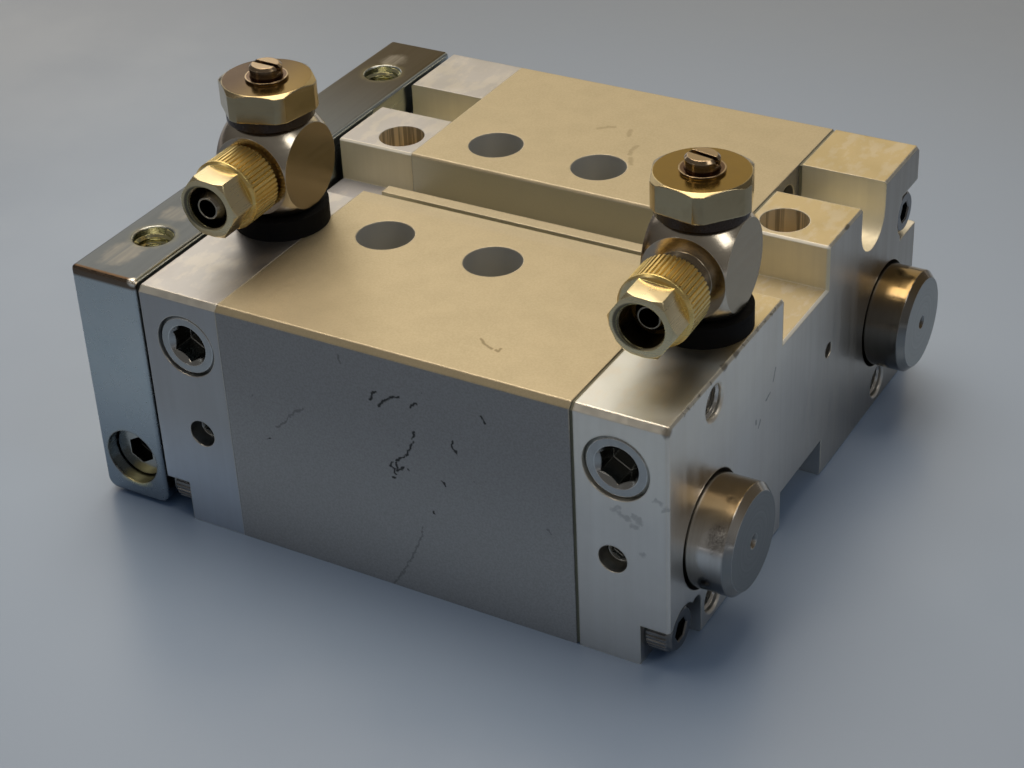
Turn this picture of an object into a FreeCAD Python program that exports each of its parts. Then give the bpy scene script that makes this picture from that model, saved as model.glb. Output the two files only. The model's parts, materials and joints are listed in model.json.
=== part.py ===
import FreeCAD, Part
import math
import os

# Guided pneumatic cylinder: a flat barrel between two covers, a piston on the centre line,
# two guide rods beside it, one yoke plate that carries all three rods, and a swivelling
# one-way flow control valve on each air port.
# Millimetres. The origin is the middle of the four mounting holes, on the base. The yoke
# plate stands at the -X end and moves out along -X, and the side plugs face -Y.

# Drive
stroke = 30.0
bore_diameter = 25.0
bore_drop = 0.3
piston_rod_diameter = 10.0
guide_rod_diameter = 16.0
guide_inset = 12.5

# Clearances
running_clearance = 0.04
seat_clearance = 0.03
free_clearance = 0.3
rod_hole_clearance = 0.5

# Housing
housing_width = 87.0
housing_height = 39.0
cover_thickness = 13.5
gasket_thickness = 0.5
gasket_inset = 0.2
mount_setback = 19.5
edge_break = 0.8
face_break = 0.35

# Sensor channel along the top
channel_width = 15.6
channel_depth = 7.0
channel_break = 0.35
lip_overhang = 2.5
lip_thickness = 2.0
rib_width = 2.1
rib_height = 4.6
rib_offset = 0.15

# Cable slot in the covers and the closed sensor bore behind it
cable_slot_offset = 24.9
cable_slot_width = 9.4
cable_slot_depth = 8.8
sensor_bore_diameter = 6.0
sensor_bore_depth = 4.6

# Relief under the covers
base_relief_width = 15.0
base_relief_height = 6.5
base_relief_length = 9.5

# Mounting holes through the barrel
mount_pitch_x = 18.0
mount_pitch_y = 32.0
mount_hole_diameter = 4.5
mount_counterbore = 8.6
mount_counterbore_depth = 12.0

# Plain holes in the top of the covers
pin_hole_diameter = 7.2
pin_hole_depth = 10.0
pin_hole_offset = 12.5
pin_hole_inset = 4.6

# Threaded holes in the rear cover
rear_thread_diameter = 5.0
rear_thread_mouth = 5.6
rear_thread_depth = 10.0
rear_thread_inset = 13.5
rear_thread_edge = 3.8
vent_diameter = 2.4
vent_depth = 5.0
vent_offset = 8.9
vent_rise = 5.7

# Cover screws and the notches that take their heads
screw_diameter = 4.0
screw_head_diameter = 7.0
screw_head_height = 4.0
screw_socket = 3.0
screw_socket_depth = 2.2
screw_grip = 8.0
thread_run_out = 1.0
low_screw_inset = 4.2
low_screw_height = 4.5
high_screw_inset = 4.5
high_screw_drop = 9.6
notch_margin = 0.3
low_notch_height = 6.6
low_notch_reach = 6.6
high_notch_height = 7.6
high_notch_reach = 6.8
relief_width = 3.5
relief_height = 7.3
relief_offset = 8.0

# Air ports, side plugs and drillings
port_offset = 18.2
port_inset = 6.0
port_thread_diameter = 9.7
port_depth = 8.0
plug_drop = 8.0
plug_length = 6.5
plug_socket = 5.0
plug_socket_depth = 4.0
plug_hole_depth = 8.0
plug_sink = 0.25
grub_chamfer = 0.5
socket_lead = 1.3
air_channel_diameter = 3.4
air_channel_drop = 0.6
air_drop_diameter = 3.0
air_drop_radius = 11.1
air_drop_rise = 5.8

# Lubrication holes
lube_inset = 5.3
lube_rise = 0.7
lube_diameter = 4.2
lube_sink = 2.0
lube_plug_length = 1.4
lube_socket = 2.5
lube_socket_depth = 0.9

# Guide bushes, wipers and the piston rod's bush and seal
bush_wall = 1.0
bush_length = 16.0
wiper_wall = 1.2
wiper_thickness = 5.0
wiper_sink = 0.4
rod_bush_wall = 1.0
rod_seal_diameter = 16.0
rod_seal_thickness = 4.5
oring_diameter = 1.4
oring_gap = 0.7

# Piston
piston_land = 1.2
seal_width = 3.0
seal_height = 3.0
magnet_width = 5.0
magnet_height = 2.4
wear_ring_width = 3.4
wear_ring_height = 1.6
ring_play = 0.1
bumper_thickness = 2.5
bumper_diameter = 18.0
end_gap = 0.3
stub_diameter = 6.0
nut_flats = 10.0
nut_height = 5.0
nut_pocket_diameter = 12.6

# Yoke plate
yoke_thickness = 11.5
yoke_gap = 0.8
yoke_side_step = 0.5
yoke_bottom = 0.5
yoke_rise = 0.2
yoke_rounding = 1.8
yoke_top_rounding = 0.7
yoke_end_rounding = 0.6
yoke_thread_diameter = 6.0
yoke_thread_mouth = 6.4
yoke_top_depth = 10.0
yoke_face_pitch_y = 32.0
yoke_face_pitch_z = 24.0
yoke_seat_depth = 2.0
yoke_screw_diameter = 6.0
yoke_screw_head = 10.0
yoke_screw_head_height = 6.0
yoke_screw_grip = 12.0
yoke_screw_socket = 5.0
yoke_screw_socket_depth = 3.0
spigot_diameter = 10.0
spigot_setback = 0.5
clamp_slit = 1.5
clamp_drop = 8.2
clamp_screw_diameter = 5.0
clamp_head_diameter = 8.5
clamp_head_height = 5.0
clamp_head_sink = 2.2
clamp_screw_length = 16.0
clamp_socket = 4.0
clamp_socket_depth = 2.5

# Guide rod ends
rod_overhang = 6.3
rod_chamfer = 1.0
centre_mark = 1.1

# Flow control valves
seal_ring_diameter = 14.1
seal_ring_height = 3.0
banjo_sphere = 17.5
banjo_height = 14.0
banjo_flats = 12.0
banjo_front = 6.4
banjo_play = 0.05
bolt_shank_diameter = 9.0
bolt_tail = 7.4
bolt_washer_diameter = 12.7
bolt_washer_height = 1.5
bolt_head_flats = 13.0
bolt_head_height = 4.2
bolt_corner_cut = 0.4
hex_chamfer = 0.12
hex_chamfer_angle = 30.0
annulus_diameter = 10.6
annulus_height = 5.6
stub_thread_diameter = 8.0
stub_length = 5.4
nipple_diameter = 3.9
nipple_bore = 2.8
nipple_barb = 0.35
nipple_reach = 17.0
nut_knurl_diameter = 10.5
nut_knurl_length = 6.0
nut_knurl_rim = 0.3
nut_hex_flats = 8.5
nut_hex_length = 4.1
nut_corner_cut = 0.1
nut_hex_turn = 25.0
nut_mouth_diameter = 6.2
nut_thread_depth = 5.5
nut_start_gap = 0.6

# Regulating screw inside the valve
regulator_diameter = 5.2
regulator_neck = 4.7
regulator_stand_out = 2.2
regulator_slot = 0.8
regulator_rim = 0.4
regulator_slot_depth = 1.1
regulator_lift_up = 1.0
regulator_lift_down = 1.5
needle_diameter = 2.0
needle_length = 4.6
needle_tip = 0.9
seat_diameter = 2.8
seat_height = 7.0
cross_hole_diameter = 1.8
regulator_oring = 1.0
regulator_oring_height = 18.0
retaining_ring_diameter = 6.2
retaining_ring_height = 0.4
check_seal_height = 1.6

# How each valve stands: branch, hexagon head and screw slot in degrees, and how far its
# union nut is screwed back
front_branch_turn = 1.0
front_head_turn = -11.8
front_slot_turn = -2.5
front_nut_back_off = 0.0
rear_branch_turn = 2.5
rear_head_turn = 21.0
rear_slot_turn = -10.0
rear_nut_back_off = 2.4

# Places that follow from the sizes above
half_width = housing_width / 2
half_channel = channel_width / 2
channel_floor = housing_height - channel_depth
axis_height = channel_floor / 2 - bore_drop
guide_offset = half_width - guide_inset
guide_radius = guide_rod_diameter / 2
piston_length = 2 * seal_width + magnet_width + wear_ring_width + 5 * piston_land
chamber_length = stroke + piston_length + 2 * (bumper_thickness + end_gap)
front_joint = -mount_setback
rear_joint = front_joint + chamber_length
barrel_end = rear_joint - gasket_thickness
front_face = front_joint - cover_thickness
rear_face = rear_joint + cover_thickness
bush_radius = guide_radius + running_clearance + bush_wall
rod_bush_radius = piston_rod_diameter / 2 + running_clearance + rod_bush_wall
wiper_diameter = guide_rod_diameter + 2 * wiper_wall
yoke_back = front_face - yoke_gap
yoke_front = yoke_back - yoke_thickness
yoke_middle = yoke_back - yoke_thickness / 2
yoke_width = housing_width - 2 * yoke_side_step
yoke_top = housing_height + yoke_rise
piston_back = rear_joint - end_gap - bumper_thickness
piston_front = piston_back - piston_length
low_screw_y = -(half_width - low_screw_inset)
high_screw_y = half_width - high_screw_inset
high_screw_height = housing_height - high_screw_drop
plug_height = housing_height - plug_drop
head_seat = cover_thickness - screw_head_height - notch_margin
clamp_height = axis_height - clamp_drop
front_port_x = front_joint - port_inset
rear_port_x = rear_joint + port_inset
banjo_base = housing_height + seal_ring_height
banjo_top = banjo_base + banjo_height
head_base = banjo_top + bolt_washer_height
head_top = head_base + bolt_head_height
branch_height = banjo_base + banjo_height / 2

X, Y, Z = FreeCAD.Vector(1, 0, 0), FreeCAD.Vector(0, 1, 0), FreeCAD.Vector(0, 0, 1)
both_sides = (-1, 1)


def point(x, y, z):
    return FreeCAD.Vector(x, y, z)


def box(x, y, z):
    size = [high - low for low, high in (x, y, z)]
    return Part.makeBox(*size, point(x[0], y[0], z[0]))


def span(a, b):
    return (min(a, b), max(a, b))


def bar(start, direction, length, diameter):
    return Part.makeCylinder(diameter / 2, length, start, direction)


def placed(shape, start, direction):
    shape.Placement = FreeCAD.Placement(start, FreeCAD.Rotation(Z, direction))
    return shape


def turned(profile, start, direction):
    corners = [point(radius, 0, height) for radius, height in profile]
    face = Part.Face(Part.makePolygon(corners + corners[:1]))
    return placed(face.revolve(point(0, 0, 0), Z, 360), start, direction)


def ring(inner, outer, start, direction, length):
    profile = [(inner / 2, 0), (outer / 2, 0), (outer / 2, length), (inner / 2, length)]
    return turned(profile, start, direction)


def hex_prism(flats, start, direction, length, turn=0):
    reach = flats / math.sqrt(3)
    angles = [math.radians(60 * k + 30 + turn) for k in range(7)]
    corners = [point(reach * math.cos(a), reach * math.sin(a), 0) for a in angles]
    prism = Part.Face(Part.makePolygon(corners)).extrude(Z * length)
    return placed(prism, start, direction)


def hex_bar(flats, corner_cut, start, direction, length, turn):
    # A hexagon with its corners turned off and its far end bevelled to a circle.
    reach = flats / math.sqrt(3) - corner_cut
    top = flats / 2 - hex_chamfer
    drop = (reach - top) * math.tan(math.radians(hex_chamfer_angle))
    profile = [(0, 0), (reach, 0), (reach, length - drop), (top, length), (0, length)]
    return hex_prism(flats, start, direction, length, turn).common(turned(profile, start, direction))


def socket_screw(start, direction, head, head_height, shank, shank_length, socket, socket_depth):
    # The screw's seat is at start and its shank points along direction.
    body = bar(start, direction * -1, head_height, head)
    top = start - direction * head_height
    body = body.fuse(bar(start, direction, shank_length, shank))
    return body.cut(hex_prism(socket, top, direction, socket_depth)).removeSplitter()


def threaded_hole(start, direction, depth, diameter, mouth):
    # A hole at the thread's outside diameter, with its mouth countersunk at 45 degrees.
    cone = Part.makeCone(mouth / 2, diameter / 2, (mouth - diameter) / 2, start, direction)
    return bar(start, direction, depth, diameter).fuse(cone)


def cut_all(shape, tools):
    return shape.cut(tools).removeSplitter()


def save(name, *solids):
    shape = solids[0] if len(solids) == 1 else Part.makeCompound(list(solids))
    shape.exportStep("parts/" + name + ".step")


def outline(inner_points):
    # The housing's outline seen along X, from the far bottom corner round to the near one.
    far_side = [(half_width, 0), (half_width, housing_height - edge_break)]
    far_top = [(half_width - edge_break, housing_height)]
    near_top = [(edge_break - half_width, housing_height)]
    near_side = [(-half_width, housing_height - edge_break), (-half_width, 0)]
    return far_side + far_top + inner_points + near_top + near_side


def extruded(points, start_x, length):
    corners = [point(start_x, y, z) for y, z in points]
    return Part.Face(Part.makePolygon(corners + corners[:1])).extrude(X * length)


def channel_wall():
    # One wall of the channel, from its broken top edge down to the floor.
    edge = [(half_channel + channel_break, housing_height), (half_channel, housing_height - channel_break)]
    return edge + [(half_channel, channel_floor)]


def cover_channel():
    rim = channel_wall()
    return rim + [(-y, z) for y, z in reversed(rim)]


def barrel_channel():
    rib_near = rib_offset - rib_width / 2
    rib_far = rib_offset + rib_width / 2
    rib_top = channel_floor + rib_height
    lip_edge = lip_overhang - half_channel
    lip_bottom = housing_height - lip_thickness
    rib = [(rib_far, channel_floor), (rib_far, rib_top), (rib_near, rib_top), (rib_near, channel_floor)]
    near_wall = [(-half_channel, channel_floor), (-half_channel, lip_bottom)]
    lip = [(lip_edge, lip_bottom), (lip_edge, housing_height - channel_break)]
    lip.append((lip_edge - channel_break, housing_height))
    return channel_wall() + rib + near_wall + lip


def mount_hole(x, y):
    through = bar(point(x, y, 0), Z, housing_height, mount_hole_diameter)
    floor = housing_height - mount_counterbore_depth
    return through.fuse(bar(point(x, y, floor), Z, mount_counterbore_depth, mount_counterbore))


def cover_screw_places():
    return ((low_screw_y, low_screw_height), (high_screw_y, high_screw_height))


def barrel_body():
    length = barrel_end - front_joint
    blank = extruded(outline(barrel_channel()), front_joint, length)
    tools = [bar(point(front_joint, 0, axis_height), X, length, bore_diameter)]
    sensor_start = point(front_joint, cable_slot_offset, housing_height - sensor_bore_depth)
    tools.append(bar(sensor_start, X, length, sensor_bore_diameter))
    for side in both_sides:
        start = point(front_joint, side * guide_offset, axis_height)
        tools.append(bar(start, X, length, 2 * bush_radius))
        for end in both_sides:
            tools.append(mount_hole(end * mount_pitch_x / 2, side * mount_pitch_y / 2))
    hole = screw_diameter + 2 * seat_clearance
    for y, z in cover_screw_places():
        tools.append(bar(point(front_joint, y, z), X, screw_grip + thread_run_out, hole))
        tools.append(bar(point(barrel_end, y, z), X * -1, screw_grip + thread_run_out, hole))
    return cut_all(blank, tools)


class CoverPlace:
    # A cover measured from its joint with the barrel: -1 is the yoke end, +1 the rear end.
    def __init__(self, joint, outward):
        self.joint = joint
        self.outward = outward
        self.out = X * outward
        self.face = joint + outward * cover_thickness
        self.port_x = joint + outward * port_inset

    def at(self, depth):
        return self.joint + self.outward * depth

    def slab(self, depth):
        # The X range of a cut that goes in from the outer face down to a depth from the joint.
        return span(self.at(depth), self.face)


front = CoverPlace(front_joint, -1)
rear = CoverPlace(rear_joint, 1)


def cable_slot(x):
    bottom = housing_height - cable_slot_depth
    round_height = bottom + cable_slot_width / 2
    half = cable_slot_width / 2
    sides = (cable_slot_offset - half, cable_slot_offset + half)
    straight = box(x, sides, (round_height, housing_height))
    start = point(x[0], cable_slot_offset, round_height)
    return straight.fuse(bar(start, X, x[1] - x[0], cable_slot_width))


def screw_notches(place):
    low, high = cover_screw_places()
    x = place.slab(head_seat)
    tools = [box(x, (-half_width, low_notch_reach - half_width), (0, low_notch_height))]
    middle = high_screw_height
    reach = (half_width - high_notch_reach, half_width)
    tools.append(box(x, reach, (middle - high_notch_height / 2, middle + high_notch_height / 2)))
    for y, z in (low, high):
        seat = point(place.at(head_seat), y, z)
        pocket = screw_head_diameter + 2 * free_clearance
        tools.append(bar(seat, place.out, cover_thickness - head_seat, pocket))
        hole = screw_diameter + 2 * seat_clearance
        tools.append(bar(point(place.joint, y, z), place.out, head_seat, hole))
    return tools


def air_drillings(place):
    # The top port, the side port, the channel between them and the way into the bore.
    port = port_thread_diameter + 2 * seat_clearance
    tools = [bar(point(place.port_x, -port_offset, housing_height), Z * -1, port_depth, port)]
    tools.append(bar(point(place.port_x, -half_width, plug_height), Y, plug_hole_depth, port))
    drop_height = axis_height + air_drop_rise
    drop_y = -math.sqrt(air_drop_radius**2 - air_drop_rise**2)
    channel_height = housing_height - port_depth - air_channel_drop
    channel_start = point(place.port_x, -half_width + plug_hole_depth / 2, channel_height)
    channel_length = half_width - plug_hole_depth / 2 + drop_y
    tools.append(bar(channel_start, Y, channel_length, air_channel_diameter))
    drop_start = point(place.port_x, drop_y, drop_height)
    tools.append(bar(drop_start, Z, channel_height - drop_height, air_drop_diameter))
    tools.append(bar(point(place.joint, drop_y, drop_height), place.out, port_inset, air_drop_diameter))
    return tools


def cover_blank(place):
    low_x = min(place.joint, place.face)
    blank = extruded(outline(cover_channel()), low_x, cover_thickness)
    at_face = [abs(e.BoundBox.Center.x - place.face) < face_break for e in blank.Edges]
    rim = [edge for edge, chosen in zip(blank.Edges, at_face) if chosen]
    blank = blank.makeChamfer(face_break, rim)
    tools = [cable_slot(span(place.joint, place.face))]
    half = base_relief_width / 2
    relief_x = place.slab(cover_thickness - base_relief_length)
    tools.append(box(relief_x, (-half, half), (0, base_relief_height)))
    tools += screw_notches(place) + air_drillings(place)
    pin_start = point(place.at(pin_hole_inset), pin_hole_offset, housing_height)
    tools.append(bar(pin_start, Z * -1, pin_hole_depth, pin_hole_diameter))
    rod_hole = guide_rod_diameter + 2 * rod_hole_clearance
    for side in both_sides:
        start = point(place.joint, side * guide_offset, axis_height)
        tools.append(bar(start, place.out, cover_thickness, rod_hole))
        lube = point(place.at(lube_inset), side * half_width, axis_height + lube_rise)
        tools.append(bar(lube, Y * -side, half_width - guide_offset, lube_diameter + 2 * seat_clearance))
    return cut_all(blank, tools)


def front_cover():
    tools = []
    for side in both_sides:
        wiper = point(front_face, side * guide_offset, axis_height)
        tools.append(bar(wiper, X, wiper_thickness + wiper_sink, wiper_diameter + 2 * seat_clearance))
    axis_start = point(front_face, 0, axis_height)
    tools.append(bar(axis_start, X, cover_thickness, 2 * (rod_bush_radius + seat_clearance)))
    seal_pocket = rod_seal_diameter + 2 * seat_clearance
    tools.append(bar(axis_start, X, rod_seal_thickness + wiper_sink, seal_pocket))
    groove_inner = bore_diameter + 2 * oring_gap
    groove_outer = groove_inner + 2 * oring_diameter
    groove_start = point(front_joint, 0, axis_height)
    tools.append(ring(groove_inner, groove_outer, groove_start, X * -1, oring_diameter))
    return cut_all(cover_blank(front), tools)


def rear_cover():
    far = half_width - rear_thread_inset
    high = housing_height - rear_thread_edge
    places = ((-far, high), (-far, rear_thread_edge), (far, rear_thread_edge))
    thread = (rear_thread_depth, rear_thread_diameter, rear_thread_mouth)
    tools = [threaded_hole(point(rear_face, y, z), X * -1, *thread) for y, z in places]
    vent = point(rear_face, vent_offset, axis_height + vent_rise)
    tools.append(bar(vent, X * -1, vent_depth, vent_diameter))
    x = rear.slab(head_seat)
    middle = relief_offset - half_width
    round_height = relief_height - relief_width / 2
    tools.append(box(x, (middle - relief_width / 2, middle + relief_width / 2), (0, round_height)))
    tools.append(bar(point(x[0], middle, round_height), X, x[1] - x[0], relief_width))
    return cut_all(cover_blank(rear), tools)


def rear_gasket():
    low, high = gasket_inset, housing_height - gasket_inset
    edge = half_width - gasket_inset
    channel = half_channel + gasket_inset
    points = [(edge, low), (edge, high - edge_break), (edge - edge_break, high)]
    points += [(channel, high), (channel, channel_floor - gasket_inset)]
    points += [(-y, z) for y, z in reversed(points)]
    sheet = extruded(points, barrel_end, gasket_thickness)
    tools = [cable_slot((barrel_end, rear_joint))]
    tools.append(bar(point(barrel_end, 0, axis_height), X, gasket_thickness, bore_diameter))
    for side in both_sides:
        start = point(barrel_end, side * guide_offset, axis_height)
        tools.append(bar(start, X, gasket_thickness, 2 * bush_radius))
    hole = screw_diameter + 2 * seat_clearance
    for y, z in cover_screw_places():
        tools.append(bar(point(barrel_end, y, z), X, gasket_thickness, hole))
    return cut_all(sheet, tools)


def cover_oring():
    middle = (bore_diameter + 2 * oring_gap + oring_diameter) / 2
    centre = point(front_joint - oring_diameter / 2, 0, axis_height)
    return Part.makeTorus(middle, oring_diameter / 2 - seat_clearance, centre, X)


def cover_screws(place, packing):
    inward = place.out * -1
    length = head_seat + packing + screw_grip
    seats = [point(place.at(head_seat), y, z) for y, z in cover_screw_places()]
    head = (screw_head_diameter, screw_head_height)
    return [
        socket_screw(seat, inward, *head, screw_diameter, length, screw_socket, screw_socket_depth)
        for seat in seats
    ]


def grub(start, direction, diameter, length, socket, socket_depth):
    # A headless screw with its socket, countersunk at the mouth, at start.
    radius = diameter / 2
    rim = [(radius - grub_chamfer, 0), (radius, grub_chamfer)]
    profile = [(0, 0), *rim, (radius, length), (0, length)]
    mouth = socket * socket_lead / 2
    inside = socket / socket_lead / 2
    lead = Part.makeCone(mouth, inside, mouth - inside, start, direction)
    hollow = hex_prism(socket, start, direction, socket_depth).fuse(lead)
    return turned(profile, start, direction).cut(hollow)


def port_plugs():
    starts = [point(p.port_x, plug_sink - half_width, plug_height) for p in (front, rear)]
    sizes = (port_thread_diameter, plug_length, plug_socket, plug_socket_depth)
    return [grub(start, Y, *sizes) for start in starts]


def lube_plugs():
    plugs = []
    sizes = (lube_diameter, lube_plug_length, lube_socket, lube_socket_depth)
    for place in (front, rear):
        for side in both_sides:
            y = side * (half_width - lube_sink)
            start = point(place.at(lube_inset), y, axis_height + lube_rise)
            plugs.append(grub(start, Y * -side, *sizes))
    return plugs


def guide_bush(start_x, side):
    inner = guide_rod_diameter + 2 * running_clearance
    outer = 2 * (bush_radius - seat_clearance)
    return ring(inner, outer, point(start_x, side * guide_offset, axis_height), X, bush_length)


def rod_wiper(side):
    inner = guide_rod_diameter + 2 * running_clearance
    start = point(front_face + wiper_sink, side * guide_offset, axis_height)
    return ring(inner, wiper_diameter, start, X, wiper_thickness)


def rod_bush():
    inner = piston_rod_diameter + 2 * running_clearance
    start_x = front_face + rod_seal_thickness + wiper_sink
    return ring(inner, 2 * rod_bush_radius, point(start_x, 0, axis_height), X, front_joint - start_x)


def rod_seal():
    inner = piston_rod_diameter + 2 * running_clearance
    start = point(front_face + wiper_sink, 0, axis_height)
    return ring(inner, rod_seal_diameter, start, X, rod_seal_thickness)


def ring_starts():
    # Where each groove of the piston begins, counted from its front face.
    widths = (seal_width, magnet_width, wear_ring_width, seal_width)
    starts = []
    place = piston_land
    for width in widths:
        starts.append(place)
        place += width + piston_land
    return starts


def piston():
    outer = bore_diameter / 2 - free_clearance
    heights = (seal_height, magnet_height, wear_ring_height, seal_height)
    widths = (seal_width, magnet_width, wear_ring_width, seal_width)
    stub = stub_diameter / 2 + seat_clearance
    profile = [(stub, 0), (outer, 0)]
    for start, width, height in zip(ring_starts(), widths, heights):
        floor = outer - height
        profile += [(outer, start), (floor, start), (floor, start + width), (outer, start + width)]
    pocket_floor = piston_length - nut_height
    pocket = nut_pocket_diameter / 2
    profile += [(outer, piston_length), (pocket, piston_length)]
    profile += [(pocket, pocket_floor), (stub, pocket_floor)]
    return turned(profile, point(piston_front, 0, axis_height), X)


def piston_ring(index, width, height, outer_gap, lip):
    # A ring in one of the piston's grooves. A lip is the depth of the notch in a seal's open side.
    outer = bore_diameter / 2 - outer_gap
    inner = bore_diameter / 2 - free_clearance - height
    length = width - 2 * ring_play
    profile = [(inner, 0), (outer, 0), (outer, length), (inner, length)]
    if lip:
        middle = (inner + outer) / 2
        wing = (outer - inner) / 4
        notch = [(middle + wing, 0), (middle, lip), (middle - wing, 0)]
        profile = [(inner, 0), *reversed(notch), (outer, 0), (outer, length), (inner, length)]
    toward = 1 if index < 2 else -1
    start = ring_starts()[index] + ring_play
    if toward < 0:
        start += length
    return turned(profile, point(piston_front + start, 0, axis_height), X * toward)


def bumper(start_x, inner):
    return ring(inner, bumper_diameter, point(start_x, 0, axis_height), X, bumper_thickness)


def piston_rod():
    start_x = yoke_back - yoke_seat_depth
    length = piston_front - start_x
    start = point(start_x, 0, axis_height)
    shaft = bar(start, X, length, piston_rod_diameter)
    shaft = shaft.fuse(bar(point(piston_front, 0, axis_height), X, piston_length, stub_diameter))
    thread = yoke_screw_diameter + 2 * seat_clearance
    return cut_all(shaft, [bar(start, X, yoke_screw_grip + thread_run_out, thread)])


def piston_nut():
    start = point(piston_back - nut_height, 0, axis_height)
    nut = hex_prism(nut_flats, start, X, nut_height)
    return nut.cut(bar(start, X, nut_height, stub_diameter + 2 * seat_clearance))


def yoke_web():
    return yoke_thickness - yoke_seat_depth - yoke_screw_head_height - notch_margin


def yoke_blank():
    half = yoke_width / 2
    blank = box((yoke_front, yoke_back), (-half, half), (yoke_bottom, yoke_top))
    long_edges = [e for e in blank.Edges if e.BoundBox.YLength > yoke_thickness]
    blank = blank.makeFillet(yoke_rounding, [e for e in long_edges if e.BoundBox.ZMax < axis_height])
    long_edges = [e for e in blank.Edges if e.BoundBox.YLength > yoke_thickness]
    top_edges = [e for e in long_edges if e.BoundBox.ZMin > yoke_top - yoke_top_rounding]
    blank = blank.makeFillet(yoke_top_rounding, top_edges)
    end_edges = [e for e in blank.Edges if e.BoundBox.YLength < free_clearance]
    return blank.makeFillet(yoke_end_rounding, end_edges)


def yoke_rod_cuts(side):
    # The seat of one guide rod, its clamping slit and pinch screw, and the threaded hole above.
    y = side * guide_offset
    inward = Y * -side
    seat = spigot_diameter + 2 * seat_clearance
    tools = [bar(point(yoke_front, y, axis_height), X, yoke_thickness, seat)]
    slit = (y - clamp_slit / 2, y + clamp_slit / 2)
    tools.append(box((yoke_front, yoke_back), slit, (yoke_bottom, axis_height)))
    clamp = point(yoke_middle, side * yoke_width / 2, clamp_height)
    head_depth = clamp_head_height + clamp_head_sink
    hole = clamp_screw_diameter + 2 * seat_clearance
    tools.append(bar(clamp, inward, head_depth, clamp_head_diameter + 2 * free_clearance))
    tools.append(bar(clamp, inward, head_depth + clamp_screw_length, hole))
    top = point(yoke_middle, y, yoke_top)
    thread = (yoke_top_depth, yoke_thread_diameter, yoke_thread_mouth)
    tools.append(threaded_hole(top, Z * -1, *thread))
    return tools


def yoke_plate():
    axis_point = point(yoke_back, 0, axis_height)
    seat = piston_rod_diameter + 2 * seat_clearance
    tools = [bar(axis_point, X * -1, yoke_seat_depth, seat)]
    tools.append(bar(axis_point, X * -1, yoke_thickness, yoke_screw_diameter + 2 * free_clearance))
    head_depth = yoke_screw_head_height + notch_margin
    head_hole = yoke_screw_head + 2 * free_clearance
    tools.append(bar(point(yoke_front, 0, axis_height), X, head_depth, head_hole))
    middle_z = (yoke_bottom + yoke_top) / 2
    for side in both_sides:
        tools += yoke_rod_cuts(side)
        for rise in both_sides:
            z = middle_z + rise * yoke_face_pitch_z / 2
            hole = point(yoke_front, side * yoke_face_pitch_y / 2, z)
            thread = (yoke_thickness, yoke_thread_diameter, yoke_thread_mouth)
            tools.append(threaded_hole(hole, X, *thread))
    return cut_all(yoke_blank(), tools)


def yoke_rod_screw():
    seat = point(yoke_back - yoke_seat_depth - yoke_web(), 0, axis_height)
    length = yoke_web() + yoke_screw_grip
    head = (yoke_screw_head, yoke_screw_head_height)
    socket = (yoke_screw_socket, yoke_screw_socket_depth)
    return socket_screw(seat, X, *head, yoke_screw_diameter, length, *socket)


def clamp_screws():
    screws = []
    for side in both_sides:
        y = side * (yoke_width / 2 - clamp_head_height - clamp_head_sink)
        head = (clamp_head_diameter, clamp_head_height)
        seat = point(yoke_middle, y, clamp_height)
        sizes = (*head, clamp_screw_diameter, clamp_screw_length, clamp_socket, clamp_socket_depth)
        screws.append(socket_screw(seat, Y * -side, *sizes))
    return screws


def guide_rod(side):
    spigot = spigot_diameter / 2
    shoulder = yoke_thickness - spigot_setback
    end = shoulder + rear_face + rod_overhang - yoke_back
    profile = [(0, 0), (spigot, 0), (spigot, shoulder), (guide_radius, shoulder)]
    profile += [(guide_radius, end - rod_chamfer), (guide_radius - rod_chamfer, end)]
    profile += [(centre_mark, end), (0, end - centre_mark)]
    return turned(profile, point(yoke_front + spigot_setback, side * guide_offset, axis_height), X)


def seal_ring(port):
    inner = port_thread_diameter + 2 * seat_clearance
    return ring(inner, seal_ring_diameter, port, Z, seal_ring_height)


def bolt_washer(port):
    inner = bolt_shank_diameter + 2 * seat_clearance
    rise = banjo_top - housing_height
    return ring(inner, bolt_washer_diameter, port + Z * rise, Z, bolt_washer_height)


def regulator_bore():
    return regulator_diameter + 2 * running_clearance


def hollow_bolt(port, turn):
    thread = port_thread_diameter / 2
    shank = bolt_shank_diameter / 2
    neck = head_base - housing_height
    profile = [(0, -bolt_tail), (thread, -bolt_tail), (thread, seal_ring_height)]
    profile += [(shank, seal_ring_height), (shank, neck), (0, neck)]
    body = turned(profile, port, Z)
    head = hex_bar(bolt_head_flats, bolt_corner_cut, port + Z * neck, Z, bolt_head_height, turn)
    top = head_top - housing_height
    tools = [bar(port + Z * -bolt_tail, Z, top + bolt_tail, seat_diameter)]
    tools.append(bar(port + Z * seat_height, Z, top - seat_height, regulator_bore()))
    cross_height = seat_height + cross_hole_diameter / 2 + ring_play
    for direction in (X, Y):
        start = port + Z * cross_height - direction * shank
        tools.append(bar(start, direction, 2 * shank, cross_hole_diameter))
    return cut_all(body.fuse(head), tools)


def retaining_ring(port):
    inner = regulator_neck + 2 * running_clearance
    start = port + Z * (head_top - housing_height)
    return ring(inner, retaining_ring_diameter, start, Z, retaining_ring_height)


def check_seal(port):
    inner = bolt_shank_diameter + 2 * seat_clearance
    outer = annulus_diameter - 2 * running_clearance
    annulus_top = branch_height - housing_height + annulus_height / 2
    start = port + Z * (annulus_top - check_seal_height - ring_play)
    return ring(inner, outer, start, Z, check_seal_height)


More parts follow.
